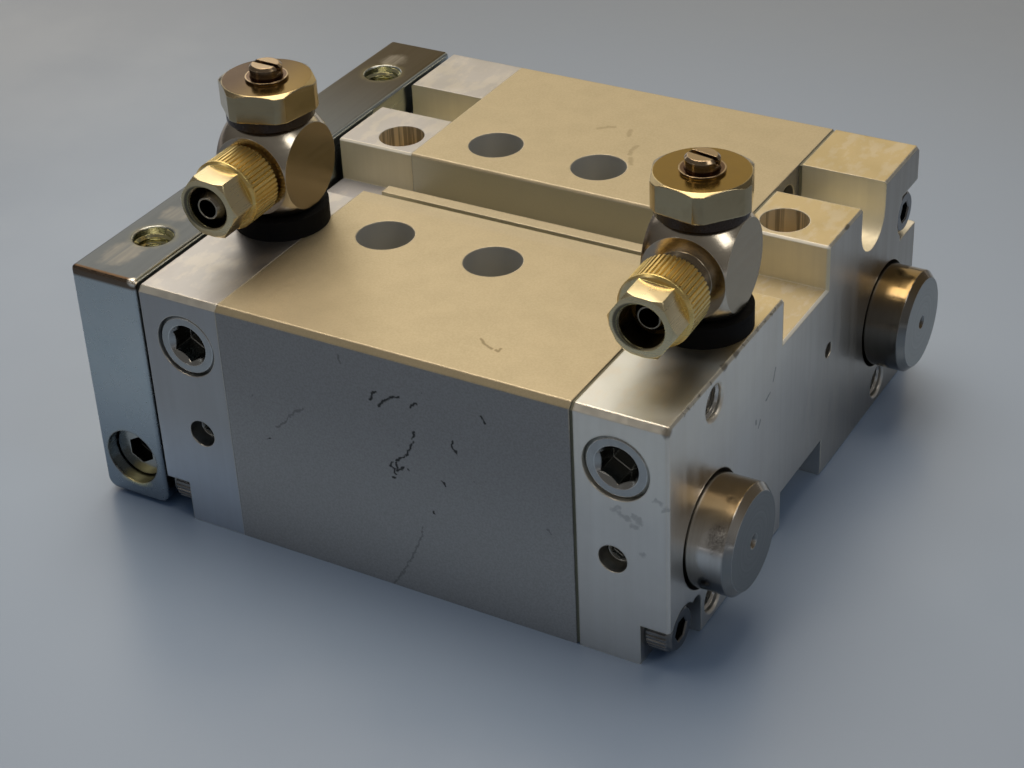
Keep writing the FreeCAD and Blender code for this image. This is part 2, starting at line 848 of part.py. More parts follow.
def regulating_screw(port, slot_turn):
    radius = regulator_diameter / 2
    neck = regulator_neck / 2
    foot = seat_height + regulator_lift_down + free_clearance
    shoulder = head_top - housing_height - regulator_lift_up - ring_play
    top = head_top - housing_height + regulator_stand_out
    groove = radius - regulator_oring - running_clearance
    low = regulator_oring_height - regulator_oring / 2 - ring_play
    high = regulator_oring_height + regulator_oring / 2 + ring_play
    tip = foot - needle_length
    profile = [(0, tip), (needle_tip / 2, tip), (needle_diameter / 2, foot)]
    profile += [(radius, foot), (radius, low), (groove, low), (groove, high), (radius, high)]
    profile += [(radius, shoulder), (neck, shoulder), (neck, top - regulator_rim)]
    profile += [(neck - regulator_rim, top), (0, top)]
    screw = turned(profile, port, Z)
    slot_x = (port.x - neck, port.x + neck)
    slot_y = (port.y - regulator_slot / 2, port.y + regulator_slot / 2)
    top_z = housing_height + top
    slot = box(slot_x, slot_y, (top_z - regulator_slot_depth, top_z))
    slot.rotate(port, Z, slot_turn)
    return cut_all(screw, [slot])


def regulator_ring(port):
    middle = regulator_diameter / 2 - regulator_oring / 2
    return Part.makeTorus(middle, regulator_oring / 2, port + Z * regulator_oring_height, Z)


def along_branch(shape, port, turn):
    # Turns a piece made round the Z axis, with its branch along -Y, to its place on a port.
    shape.rotate(point(0, 0, 0), Z, turn)
    shape.translate(point(port.x, port.y, 0))
    return shape


def banjo_body(port, turn):
    centre = point(0, 0, branch_height)
    ball = Part.makeSphere(banjo_sphere / 2, centre)
    half_flats = banjo_flats / 2
    low, high = banjo_base + banjo_play, banjo_top - banjo_play
    keep = box((-half_flats, half_flats), (-banjo_front, banjo_sphere), (low, high))
    body = ball.common(keep)
    front_point = point(0, -banjo_front, branch_height)
    body = body.fuse(bar(front_point, Y * -1, stub_length, stub_thread_diameter))
    nipple = nipple_diameter / 2
    reach = nipple_reach - banjo_front
    lip = [(nipple + nipple_barb, reach - 3 * nipple_barb), (nipple - nipple_barb, reach), (0, reach)]
    spout = turned([(0, 0), (nipple, 0), (nipple, reach - 3 * nipple_barb)] + lip, front_point, Y * -1)
    body = body.fuse(spout)
    shank = bolt_shank_diameter + 2 * running_clearance
    tools = [bar(point(0, 0, low), Z, high - low, shank)]
    annulus_start = point(0, 0, branch_height - annulus_height / 2)
    tools.append(bar(annulus_start, Z, annulus_height, annulus_diameter))
    tools.append(bar(centre, Y * -1, banjo_front + reach, nipple_bore))
    return along_branch(cut_all(body, tools), port, turn)


def union_nut(port, turn, back_off):
    start = point(0, -(banjo_front + nut_start_gap + back_off), branch_height)
    outer = nut_knurl_diameter / 2
    inner = outer - nut_knurl_rim
    low, high = nut_knurl_rim, nut_knurl_length - nut_knurl_rim
    profile = [(0, 0), (inner, 0), (outer, low), (outer, high)]
    profile += [(inner, nut_knurl_length), (0, nut_knurl_length)]
    collar = turned(profile, start, Y * -1)
    hex_start = start - Y * nut_knurl_length
    flats = (nut_hex_flats, nut_corner_cut)
    nut = collar.fuse(hex_bar(*flats, hex_start, Y * -1, nut_hex_length, nut_hex_turn))
    thread = stub_thread_diameter + 2 * seat_clearance
    tools = [bar(start, Y * -1, nut_thread_depth, thread)]
    tools.append(bar(start, Y * -1, nut_knurl_length + nut_hex_length, nut_mouth_diameter))
    return along_branch(cut_all(nut, tools), port, turn)


def save_valve(name, x, branch_turn, head_turn, slot_turn, back_off):
    port = point(x, -port_offset, housing_height)
    save(name + "_seal_ring", seal_ring(port))
    save(name + "_hollow_bolt", hollow_bolt(port, head_turn))
    save(name + "_bolt_washer", bolt_washer(port))
    save(name + "_banjo_body", banjo_body(port, branch_turn))
    save(name + "_union_nut", union_nut(port, branch_turn, back_off))
    save(name + "_check_seal", check_seal(port))
    save(name + "_retaining_ring", retaining_ring(port))
    save(name + "_regulating_screw", regulating_screw(port, slot_turn))
    save(name + "_regulator_oring", regulator_ring(port))


def save_housing():
    save("barrel_body", barrel_body())
    save("front_cover", front_cover())
    save("rear_cover", rear_cover())
    save("rear_gasket", rear_gasket())
    save("front_cover_oring", cover_oring())
    save("front_cover_screws", *cover_screws(front, 0))
    save("rear_cover_screws", *cover_screws(rear, gasket_thickness))
    save("port_plugs", *port_plugs())
    save("lube_plugs", *lube_plugs())
    for side, name in zip(both_sides, ("near", "far")):
        save("front_guide_bush_" + name, guide_bush(front_joint, side))
        save("rear_guide_bush_" + name, guide_bush(barrel_end - bush_length, side))
        save("guide_wiper_" + name, rod_wiper(side))
    save("piston_rod_bush", rod_bush())
    save("piston_rod_seal", rod_seal())


def save_carriage():
    save("yoke_plate", yoke_plate())
    save("yoke_clamp_screws", *clamp_screws())
    save("yoke_rod_screw", yoke_rod_screw())
    save("guide_rod_near", guide_rod(-1))
    save("guide_rod_far", guide_rod(1))
    save("piston_rod", piston_rod())
    save("piston", piston())
    save("piston_nut", piston_nut())
    seal_lip = seal_height / 2
    save("front_piston_seal", piston_ring(0, seal_width, seal_height, running_clearance, seal_lip))
    save("piston_magnet", piston_ring(1, magnet_width, magnet_height, 2 * free_clearance, 0))
    save("piston_wear_ring", piston_ring(2, wear_ring_width, wear_ring_height, running_clearance, 0))
    save("rear_piston_seal", piston_ring(3, seal_width, seal_height, running_clearance, seal_lip))
    rod_pass = piston_rod_diameter + 2 * free_clearance
    save("front_bumper", bumper(piston_front - bumper_thickness, rod_pass))
    save("rear_bumper", bumper(piston_back, nut_pocket_diameter))


os.makedirs("parts", exist_ok=True)
save_housing()
save_carriage()
front_stance = (front_branch_turn, front_head_turn, front_slot_turn, front_nut_back_off)
rear_stance = (rear_branch_turn, rear_head_turn, rear_slot_turn, rear_nut_back_off)
save_valve("front_valve", front_port_x, *front_stance)
save_valve("rear_valve", rear_port_x, *rear_stance)
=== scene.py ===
import json
import math
import bpy
import bmesh
from mathutils import Matrix, Vector


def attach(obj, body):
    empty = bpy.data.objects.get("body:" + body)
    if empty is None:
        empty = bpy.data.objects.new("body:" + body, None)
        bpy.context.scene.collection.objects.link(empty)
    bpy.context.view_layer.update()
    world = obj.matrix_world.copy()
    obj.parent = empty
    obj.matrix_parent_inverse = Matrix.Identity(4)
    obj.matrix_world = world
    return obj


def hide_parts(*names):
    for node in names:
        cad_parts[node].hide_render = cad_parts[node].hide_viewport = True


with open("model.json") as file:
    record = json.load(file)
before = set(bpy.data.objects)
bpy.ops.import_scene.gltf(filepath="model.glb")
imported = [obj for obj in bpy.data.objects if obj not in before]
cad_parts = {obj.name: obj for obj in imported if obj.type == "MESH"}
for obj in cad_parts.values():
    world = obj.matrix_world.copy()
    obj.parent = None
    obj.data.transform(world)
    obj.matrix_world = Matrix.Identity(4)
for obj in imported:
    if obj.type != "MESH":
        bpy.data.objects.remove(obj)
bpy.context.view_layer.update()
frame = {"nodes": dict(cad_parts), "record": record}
nodes = frame["nodes"]
mm = 0.001
print("frame loaded,", len(nodes), "nodes")


# Small helpers for work in edit mode

def deselectAll():
    if bpy.context.object and bpy.context.object.mode != "OBJECT":
        bpy.ops.object.mode_set(mode="OBJECT")
    bpy.ops.object.select_all(action="DESELECT")


def makeActive(piece):
    deselectAll()
    piece.select_set(True)
    bpy.context.view_layer.objects.active = piece


def openEdit(piece, kind):
    makeActive(piece)
    bpy.ops.object.mode_set(mode="EDIT")
    bpy.ops.mesh.select_mode(type=kind)
    bpy.ops.mesh.select_all(action="DESELECT")


def closeEdit():
    bpy.ops.mesh.select_all(action="SELECT")
    bpy.ops.mesh.normals_make_consistent(inside=False)
    bpy.ops.object.mode_set(mode="OBJECT")


def pickVerts(piece, wanted):
    openEdit(piece, "VERT")
    shape = bmesh.from_edit_mesh(piece.data)
    for vert in shape.verts:
        vert.select_set(wanted(vert.co / mm))
    shape.select_flush(True)
    bmesh.update_edit_mesh(piece.data)


def turnedBlank(name, sides, steps, turn=0.0):
    # a filled circle, extruded and resized step by step: each step is (radius, height) in mm
    deselectAll()
    radius, height = steps[0]
    bpy.ops.mesh.primitive_circle_add(vertices=sides, radius=radius * mm, fill_type="NGON",
                                      location=(0, 0, height * mm), rotation=(0, 0, math.radians(turn)))
    piece = bpy.context.object
    piece.name = name
    bpy.ops.object.transform_apply(location=True, rotation=True, scale=True)
    bpy.ops.object.mode_set(mode="EDIT")
    bpy.ops.mesh.select_mode(type="FACE")
    bpy.ops.mesh.select_all(action="SELECT")
    for nextRadius, nextHeight in steps[1:]:
        rise = (0, 0, (nextHeight - height) * mm)
        bpy.ops.mesh.extrude_region_move(TRANSFORM_OT_translate={"value": rise})
        grow = nextRadius / radius
        bpy.ops.transform.resize(value=(grow, grow, 1), center_override=(0, 0, nextHeight * mm))
        radius, height = nextRadius, nextHeight
    closeEdit()
    return piece


def flute(piece, teeth, low, high, keep):
    # every tooth has four columns, and the one in its groove is drawn in
    step = 2 * math.pi / (4 * teeth)

    def inGroove(place):
        column = round((math.atan2(place.y, place.x) + 2 * math.pi) / step)
        return low <= place.z <= high and column % 4 == 0

    pickVerts(piece, inGroove)
    bpy.ops.transform.resize(value=(keep, keep, 1), center_override=(0, 0, 0))
    closeEdit()


def carve(piece, tool, way):
    makeActive(piece)
    cut = piece.modifiers.new("carve", "BOOLEAN")
    cut.object = tool
    cut.operation = way
    cut.solver = "EXACT"
    bpy.ops.object.modifier_apply(modifier=cut.name)
    bpy.data.objects.remove(tool)


def breakEdges(piece, width, angle=35):
    makeActive(piece)
    soft = piece.modifiers.new("soften", "BEVEL")
    soft.width = width * mm
    soft.segments = 2
    soft.limit_method = "ANGLE"
    soft.angle_limit = math.radians(angle)
    bpy.ops.object.modifier_apply(modifier=soft.name)


def copyOf(piece, name):
    makeActive(piece)
    bpy.ops.object.duplicate(linked=False)
    twin = bpy.context.object
    twin.name = name
    return twin


def putDown(piece, place):
    makeActive(piece)
    piece.matrix_world = place
    bpy.ops.object.transform_apply(location=True, rotation=True, scale=True)


def gather(pieces, name, smoothUpTo=28):
    makeActive(pieces[0])
    for piece in pieces[1:]:
        piece.select_set(True)
    if len(pieces) > 1:
        bpy.ops.object.join()
    whole = bpy.context.object
    whole.name = name
    bpy.ops.object.shade_smooth_by_angle(angle=math.radians(smoothUpTo))
    return whole


def aimed(point, direction):
    # local +Z points along the direction, and the piece starts at the point
    turn = Vector((0, 0, 1)).rotation_difference(Vector(direction)).to_matrix().to_4x4()
    return Matrix.Translation(Vector(point) * mm) @ turn


# Shader groups that several finishes share

def makeGroup(name, inputs, outputs):
    tree = bpy.data.node_groups.new(name, "ShaderNodeTree")
    for label, kind, value in inputs:
        socket = tree.interface.new_socket(label, in_out="INPUT", socket_type="NodeSocket" + kind)
        socket.default_value = value
    for label, kind in outputs:
        tree.interface.new_socket(label, in_out="OUTPUT", socket_type="NodeSocket" + kind)
    given = tree.nodes.new("NodeGroupInput").outputs
    return tree, given, tree.nodes.new("NodeGroupOutput").inputs


def plug(tree, socket, value):
    if isinstance(value, bpy.types.NodeSocket):
        tree.links.new(value, socket)
    else:
        socket.default_value = value


def addNode(tree, kind, plugs=None, **settings):
    node = tree.nodes.new("ShaderNode" + kind)
    for label, value in settings.items():
        setattr(node, label, value)
    for label, value in (plugs or {}).items():
        plug(tree, node.inputs[label], value)
    return node


def work(tree, operation, first, second=0.0):
    return addNode(tree, "Math", {0: first, 1: second}, operation=operation).outputs[0]


def vectorWork(tree, operation, first, second):
    node = addNode(tree, "VectorMath", {0: first, 1: second}, operation=operation)
    return node.outputs["Vector"]


def measure(tree, operation, *vectors):
    node = addNode(tree, "VectorMath", dict(enumerate(vectors)), operation=operation)
    return node.outputs["Value"]


def ramp(tree, value, low, high, start=0.0, end=1.0):
    plugs = {"Value": value, "From Min": low, "From Max": high, "To Min": start, "To Max": end}
    return addNode(tree, "MapRange", plugs, interpolation_type="SMOOTHSTEP").outputs["Result"]


def blend(tree, mask, under, over):
    return addNode(tree, "Mix", {0: mask, 6: under, 7: over}, data_type="RGBA").outputs[2]


def noise(tree, vector, scale, detail=4.0, rough=0.6):
    plugs = {"Vector": vector, "Scale": scale, "Detail": detail, "Roughness": rough}
    return addNode(tree, "TexNoise", plugs).outputs["Fac"]


def makeGrainGroup():
    inputs = [("Vector", "Vector", (0, 0, 0)), ("Stretch", "Vector", (1, 1, 1)), ("Scale", "Float", 500.0)]
    tree, given, out = makeGroup("surfaceGrain", inputs, [("Mask", "Float")])
    spot = vectorWork(tree, "MULTIPLY", given["Vector"], given["Stretch"])
    plug(tree, out["Mask"], ramp(tree, noise(tree, spot, given["Scale"], 5.0, 0.65), 0.3, 0.7))
    return tree


def makeHairGroup():
    inputs = [("Vector", "Vector", (0, 0, 0)), ("Scale", "Float", 200.0), ("Width", "Float", 0.01),
              ("Cover", "Float", 0.4)]
    tree, given, out = makeGroup("hairScratches", inputs, [("Mask", "Float")])
    wander = noise(tree, given["Vector"], given["Scale"], 2.0, 0.5)
    off = work(tree, "ABSOLUTE", work(tree, "SUBTRACT", wander, 0.5))
    line = ramp(tree, off, 0.0, given["Width"], 1.0, 0.0)
    patch = noise(tree, given["Vector"], work(tree, "MULTIPLY", given["Scale"], 0.6), 3.0)
    limit = work(tree, "SUBTRACT", 0.8, work(tree, "MULTIPLY", given["Cover"], 0.6))
    shown = work(tree, "GREATER_THAN", patch, limit)
    plug(tree, out["Mask"], work(tree, "MULTIPLY", line, shown))
    return tree


def makeEdgeGroup():
    inputs = [("Vector", "Vector", (0, 0, 0)), ("Radius", "Float", 0.0003), ("Scale", "Float", 300.0),
              ("Cover", "Float", 0.5)]
    outputs = [("Edge", "Float"), ("Nicks", "Float"), ("Normal", "Vector")]
    tree, given, out = makeGroup("edgeWear", inputs, outputs)
    # one edge mask, used for worn edges and also for painted edge highlights
    rounded = addNode(tree, "Bevel", {"Radius": given["Radius"]}, samples=6).outputs["Normal"]
    plain = addNode(tree, "NewGeometry").outputs["Normal"]
    agree = measure(tree, "DOT_PRODUCT", rounded, plain)
    edge = ramp(tree, work(tree, "SUBTRACT", 1.0, agree), 0.004, 0.12)
    low = work(tree, "SUBTRACT", 1.0, given["Cover"])
    crumbs = noise(tree, given["Vector"], given["Scale"], 6.0, 0.7)
    broken = ramp(tree, crumbs, low, work(tree, "ADD", low, 0.12))
    plug(tree, out["Edge"], edge)
    plug(tree, out["Nicks"], work(tree, "MULTIPLY", edge, broken))
    plug(tree, out["Normal"], rounded)
    return tree


def makeSpotGroup():
    inputs = [("Vector", "Vector", (0, 0, 0)), ("Centre", "Vector", (0, 0, 0)),
              ("Size", "Vector", (1, 1, 1)), ("Ragged", "Float", 0.4)]
    tree, given, out = makeGroup("spotMask", inputs, [("Mask", "Float")])
    away = vectorWork(tree, "SUBTRACT", given["Vector"], given["Centre"])
    reach = measure(tree, "LENGTH", vectorWork(tree, "DIVIDE", away, given["Size"]))
    shake = work(tree, "SUBTRACT", noise(tree, given["Vector"], 900.0), 0.5)
    reach = work(tree, "ADD", reach, work(tree, "MULTIPLY", shake, given["Ragged"]))
    plug(tree, out["Mask"], ramp(tree, reach, 0.45, 1.0, 1.0, 0.0))
    return tree


def makeStrokeGroup():
    inputs = [("Vector", "Vector", (0, 0, 0)), ("From", "Vector", (0, 0, 0)), ("To", "Vector", (0, 0, 0)),
              ("Width", "Float", 0.0003)]
    tree, given, out = makeGroup("strokeMask", inputs, [("Mask", "Float")])
    along = vectorWork(tree, "SUBTRACT", given["To"], given["From"])
    away = vectorWork(tree, "SUBTRACT", given["Vector"], given["From"])
    shares = {0: measure(tree, "DOT_PRODUCT", away, along), 1: measure(tree, "DOT_PRODUCT", along, along)}
    share = addNode(tree, "Math", shares, operation="DIVIDE", use_clamp=True).outputs[0]
    nearest = addNode(tree, "VectorMath", {0: along, "Scale": share}, operation="SCALE").outputs["Vector"]
    gap = measure(tree, "DISTANCE", away, nearest)
    core = work(tree, "MULTIPLY", given["Width"], 0.3)
    plug(tree, out["Mask"], ramp(tree, gap, core, given["Width"], 1.0, 0.0))
    return tree


grainGroup = makeGrainGroup()
hairGroup = makeHairGroup()
edgeGroup = makeEdgeGroup()
spotGroup = makeSpotGroup()
strokeGroup = makeStrokeGroup()
print("shader groups ready")


class Finish:
    # one material with its object coordinates, its shader and the shared groups at hand

    def __init__(self, name, metallic, **shaderValues):
        self.material = bpy.data.materials.new(name)
        self.material.use_nodes = True
        self.tree = self.material.node_tree
        self.shader = self.tree.nodes["Principled BSDF"]
        self.shader.inputs["Metallic"].default_value = metallic
        for label, value in shaderValues.items():
            self.shader.inputs[label.replace("_", " ")].default_value = value
        coordinates = addNode(self.tree, "TexCoord")
        self.place = coordinates.outputs["Object"]
        self.facing = self.axes(coordinates.outputs["Normal"])
        self.where = self.axes(self.place)

    def axes(self, vector):
        parts = addNode(self.tree, "SeparateXYZ", {0: vector}).outputs
        return {"x": parts["X"], "y": parts["Y"], "z": parts["Z"]}

    def group(self, tree, **plugs):
        node = self.tree.nodes.new("ShaderNodeGroup")
        node.node_tree = tree
        plug(self.tree, node.inputs["Vector"], self.place)
        for label, value in plugs.items():
            plug(self.tree, node.inputs[label], value)
        return node.outputs

    # marks and wear

    def grain(self, scale, stretch=(1, 1, 1)):
        return self.group(grainGroup, Scale=scale, Stretch=stretch)["Mask"]

    def hairs(self, scale, width, cover):
        return self.group(hairGroup, Scale=scale, Width=width, Cover=cover)["Mask"]

    def edges(self, radius, scale, cover):
        return self.group(edgeGroup, Radius=radius * mm, Scale=scale, Cover=cover)

    def spots(self, places, ragged):
        # each place is (x, y, z) and (rx, ry, rz) in mm
        whole = 0.0
        for centre, size in places:
            centre = tuple(v * mm for v in centre)
            size = tuple(v * mm for v in size)
            whole = self.either(whole, self.group(spotGroup, Centre=centre, Size=size, Ragged=ragged)["Mask"])
        return whole

    def strokes(self, marks):
        # each line is a run of flat places in mm, lifted onto its face and drawn with a shaky hand
        plugs = {"Vector": self.place, "Scale": 1100.0, "Detail": 2.0}
        wander = addNode(self.tree, "TexNoise", plugs).outputs["Color"]
        wander = vectorWork(self.tree, "SUBTRACT", wander, (0.5, 0.5, 0.5))
        wander = vectorWork(self.tree, "MULTIPLY", wander, (2 * marks["shake"] * mm,) * 3)
        shaken = vectorWork(self.tree, "ADD", self.place, wander)
        whole = 0.0
        for line in marks["lines"]:
            places = [tuple(v * mm for v in marks["face"](*flat)) for flat in line]
            for start, end in zip(places, places[1:] or places):
                plugs = {"Vector": shaken, "From": start, "To": end, "Width": marks["width"] * mm}
                whole = self.either(whole, self.group(strokeGroup, **plugs)["Mask"])
        return whole

    def sunk(self, reach):
        # 1 down in the holes and sockets of the piece itself, where shade is painted in
        plugs = {"Distance": reach * mm}
        node = addNode(self.tree, "AmbientOcclusion", plugs, only_local=True, samples=6)
        return ramp(self.tree, node.outputs["AO"], 0.08, 0.42, 1.0, 0.0)

    # places and directions, with all lengths in mm

    def above(self, axis, low, high):
        return ramp(self.tree, self.where[axis], low * mm, high * mm)

    def below(self, axis, low, high):
        return ramp(self.tree, self.where[axis], low * mm, high * mm, 1.0, 0.0)

    def band(self, axis, low, high, soft=0.1):
        rising = self.above(axis, low - soft, low + soft)
        return self.times(rising, self.below(axis, high - soft, high + soft))

    def towards(self, axis, low, high):
        # 1 on faces that point along the axis
        return ramp(self.tree, self.facing[axis], low, high)

    def against(self, axis, low, high):
        return ramp(self.tree, self.facing[axis], low, high, 1.0, 0.0)

    def offset(self, axis, middle, half=0.0):
        # how far along an axis from its middle, or from the two places half away from it
        away = work(self.tree, "SUBTRACT", self.where[axis], middle * mm)
        if half:
            away = work(self.tree, "SUBTRACT", self.unsigned(away), half * mm)
        return away

    def reach(self, first, second):
        flat = addNode(self.tree, "CombineXYZ", {"X": first, "Y": second}).outputs[0]
        return measure(self.tree, "LENGTH", flat)

    def within(self, away, low, high):
        # 1 nearer than low and 0 past high
        return ramp(self.tree, away, low * mm, high * mm, 1.0, 0.0)

    def hole(self, first, second, radius):
        # 1 on the wall of a hole, from the two offsets across its axis
        return self.within(self.reach(first, second), radius + 0.1, radius + 0.2)

    # sums of masks

    def times(self, first, second):
        return work(self.tree, "MULTIPLY", first, second)

    def plus(self, first, second):
        return work(self.tree, "ADD", first, second)

    def either(self, first, second):
        return work(self.tree, "MAXIMUM", first, second)

    def unsigned(self, value):
        return work(self.tree, "ABSOLUTE", value)

    def contrast(self, mask, low, high):
        return ramp(self.tree, mask, low, high)

    def between(self, mask, ends):
        return ramp(self.tree, mask, 0.0, 1.0, *ends)

    def over(self, base, colour, mask, share=1.0):
        if share < 1.0:
            mask = self.times(mask, share)
        return blend(self.tree, mask, base, colour)

    def metal(self, most, *losses):
        # less metallic where a mask is, by its own amount
        value = most
        for mask, loss in losses:
            value = work(self.tree, "SUBTRACT", value, self.times(mask, loss))
        plug(self.tree, self.shader.inputs["Metallic"], value)

    def done(self, colour, rough, height, strength, depth, normal=None):
        plug(self.tree, self.shader.inputs["Base Color"], colour)
        plug(self.tree, self.shader.inputs["Roughness"], rough)
        plugs = {"Height": height, "Strength": strength, "Distance": depth * mm}
        if normal is not None:
            plugs["Normal"] = normal
        bump = addNode(self.tree, "Bump", plugs)
        plug(self.tree, self.shader.inputs["Normal"], bump.outputs["Normal"])
        return self.material


# Finishes

housing = {"nearSide": -43.5, "top": 39.0, "rearFace": 50.0, "channelHalf": 8.3, "channelFloor": (31.5, 31.7)}


def onSide(x, z):
    return (x, housing["nearSide"], z)


def onTop(x, y):
    return (x, y, housing["top"])


def onRear(y, z):
    return (housing["rearFace"], y, z)


def channelWalls(f):
    across = f.band("y", -housing["channelHalf"], housing["channelHalf"])
    return f.times(across, f.above("z", *housing["channelFloor"]))


barrelLook = {
    "top": (0.455, 0.395, 0.27, 1), "side": (0.37, 0.37, 0.37, 1), "lower": (0.52, 0.52, 0.515, 1),
    "pit": (0.20, 0.185, 0.16, 1), "bare": (0.86, 0.76, 0.56, 1), "scuff": (0.035, 0.034, 0.033, 1),
    "bore": (0.63, 0.62, 0.57, 1), "wall": (0.62, 0.60, 0.48, 1), "smear": (0.20, 0.16, 0.09, 1),
    "mottle": (0.66, 0.57, 0.40, 1), "rough": (0.44, 0.54),
    "metal": 0.95, "holeLoss": 0.35, "channelLoss": 0.2,
    "holes": {"x": 9, "y": 16, "radius": 4.3},
    "share": {"pit": 0.22, "speckle": 0.13, "mottle": 0.14, "mark": 0.75, "smear": 0.40, "scuff": 0.9,
              "faint": 0.35, "bare": 0.7, "nick": 0.25}}
sideMarks = {"face": onSide, "width": 0.29, "shake": 0.5, "lines": [
    [(5.4, 30.9), (5.9, 32.1), (6.4, 32.4)], [(6.6, 30.2), (7.5, 31.3), (8.9, 32.2), (10.2, 32.6)],
    [(11.9, 31.6), (12.8, 32.3)], [(22.9, 33.2), (23.3, 32.4)], [(18.1, 28.0), (17.9, 27.2), (18.6, 26.3)],
    [(12.1, 27.6), (11.7, 26.6)], [(11.8, 26.1), (11.0, 24.5), (10.4, 23.3)], [(10.1, 23.0), (8.7, 21.9)],
    [(8.1, 21.5), (7.8, 20.7), (8.5, 20.5), (8.5, 19.6)], [(8.7, 21.5), (8.9, 20.3), (9.9, 21.2)],
    [(10.7, 21.0)], [(8.0, 18.9), (8.4, 18.9)], [(16.2, 20.6), (16.6, 20.1)], [(14.3, 15.0)],
    [(-12.7, 19.2)]]}
sideFaint = {"face": onSide, "width": 0.26, "shake": 0.5, "lines": [
    [(13.9, 34.3)], [(23.0, 22.8)], [(21.3, 22.3)], [(9.4, 24.7)], [(-14.8, 25.8)],
    [(0.7, 36.7), (1.0, 35.4)], [(-11.2, 21.6), (-10.0, 22.4), (-8.0, 24.7), (-6.2, 26.2)],
    [(32.1, 18.1), (32.7, 17.4)], [(12.3, 11.9), (11.9, 10.1), (10.2, 6.2), (8.0, 2.1), (6.4, 0.0)]]}
topMarks = {"face": onTop, "width": 0.30, "shake": 0.2, "lines": [
    [(18.0, -34.7), (18.9, -35.5), (19.8, -36.0), (20.6, -36.3)],
    [(21.2, -36.3), (21.7, -36.5), (21.7, -35.7)]]}
topSmears = {"face": onTop, "width": 0.55, "shake": 0.3, "lines": [
    [(2.8, 27.8), (4.0, 29.0), (4.8, 29.2)], [(7.7, 29.3), (8.3, 27.4)],
    [(11.1, 24.9), (10.9, 23.3), (11.3, 21.8)], [(12.0, 20.8), (13.0, 19.0)]]}


def anodisedBarrel():
    look, share, holes = barrelLook, barrelLook["share"], barrelLook["holes"]
    f = Finish("anodisedBarrel", look["metal"])
    speckle = f.grain(3200)
    inChannel = channelWalls(f)
    drilled = f.hole(f.offset("x", 0, holes["x"]), f.offset("y", 0, holes["y"]), holes["radius"])
    # painted light: the sides are painted lighter towards the bottom
    colour = f.over(look["side"], look["lower"], f.below("z", 6, 32))
    colour = f.over(colour, look["pit"], speckle, share["pit"])
    # painted light: the channel walls and the walls of the drilled holes are painted lighter, as if lit inside
    colour = f.over(colour, look["wall"], inChannel)
    colour = f.over(colour, look["bore"], drilled)
    # painted light: the top is painted warmer and lighter than the grey sides, for the warm light that falls on
    # it
    flat = f.over(look["top"], look["smear"], speckle, share["speckle"])
    flat = f.over(flat, look["mottle"], f.grain(240), share["mottle"])
    flat = f.over(flat, look["smear"], f.strokes(topMarks), share["mark"])
    flat = f.over(flat, look["smear"], f.strokes(topSmears), share["smear"])
    colour = f.over(colour, flat, f.towards("z", 0.3, 0.65))
    colour = f.over(colour, look["scuff"], f.strokes(sideMarks), share["scuff"])
    colour = f.over(colour, look["scuff"], f.strokes(sideFaint), share["faint"])
    edgeWearAndGlint = f.edges(0.35, 420, 0.55)
    # the upper edges are brightened, partly worn bare metal and partly a painted highlight
    upperEdge = f.times(edgeWearAndGlint["Edge"], f.above("z", 31, 36))
    colour = f.over(colour, look["bare"], upperEdge, share["bare"])
    colour = f.over(colour, look["pit"], edgeWearAndGlint["Nicks"], share["nick"])
    f.metal(look["metal"], (drilled, look["holeLoss"]), (inChannel, look["channelLoss"]))
    return f.done(colour, f.between(speckle, look["rough"]), speckle, 0.10, 0.02, edgeWearAndGlint["Normal"])


coverLook = {
    "front": (0.46, 0.455, 0.465, 1), "rear": (0.56, 0.465, 0.275, 1), "nearTop": (0.65, 0.68, 0.68, 1),
    "frontSide": (0.47, 0.47, 0.47, 1), "frontLow": (0.58, 0.63, 0.70, 1), "side": (0.78, 0.76, 0.72, 1),
    "upper": (0.95, 0.91, 0.82, 1), "farFace": (0.48, 0.45, 0.40, 1), "slope": (0.90, 0.88, 0.79, 1),
    "bore": (0.86, 0.71, 0.43, 1), "wall": (0.84, 0.76, 0.54, 1), "slot": (0.80, 0.73, 0.52, 1),
    "scuff": (0.66, 0.62, 0.55, 1), "dark": (0.30, 0.28, 0.25, 1), "smudge": (0.10, 0.10, 0.11, 1),
    "nick": (0.075, 0.05, 0.025, 1), "bare": (0.92, 0.85, 0.68, 1), "deep": (0.025, 0.023, 0.02, 1),
    "rough": (0.30, 0.40), "topRough": 0.06, "milledRough": 0.2,
    "metal": 1.0, "holeLoss": 0.7, "milledLoss": 0.5,
    "pinHoles": {"middle": 8.5, "half": 32.6, "y": 12.5, "radius": 3.6},
    "slotBand": (20.1, 29.7), "slotFloor": (29.9, 30.2), "topFrom": (37.6, 37.9),
    "share": {"slot": 0.9, "streak": 0.6, "scuff": 0.35, "slope": 0.8, "line": 0.04, "cloud": 0.08,
              "smudge": 0.30, "nick": 0.6, "bare": 0.55, "topEdge": 0.5, "chip": 0.6, "deep": 0.7}}
coverSmudges = {"face": onSide, "width": 0.60, "shake": 0.7, "lines": [
    [(42.0, 24.2), (42.7, 24.9)], [(42.9, 24.2), (43.8, 23.8), (44.3, 23.7)],
    [(44.9, 24.4), (45.6, 24.1), (46.0, 23.5)], [(44.6, 22.6), (45.4, 22.8)],
    [(48.3, 27.8), (48.8, 27.6)], [(49.1, 26.5), (49.8, 27.0)], [(46.3, 18.7)]]}
rearNicks = {"face": onRear, "width": 0.28, "shake": 0.3, "lines": [
    [(-10.4, 29.2), (-11.1, 27.6)], [(-12.1, 26.3), (-13.4, 25.8)],
    [(-15.2, 23.7), (-15.8, 22.7)], [(-16.7, 24.4), (-16.6, 23.7)]]}
rearChips = {"face": onRear, "width": 0.40, "shake": 0.5, "lines": [
    [(-39.4, 38.75), (-31.1, 38.75)], [(-21.7, 38.85), (-8.5, 38.85)]]}
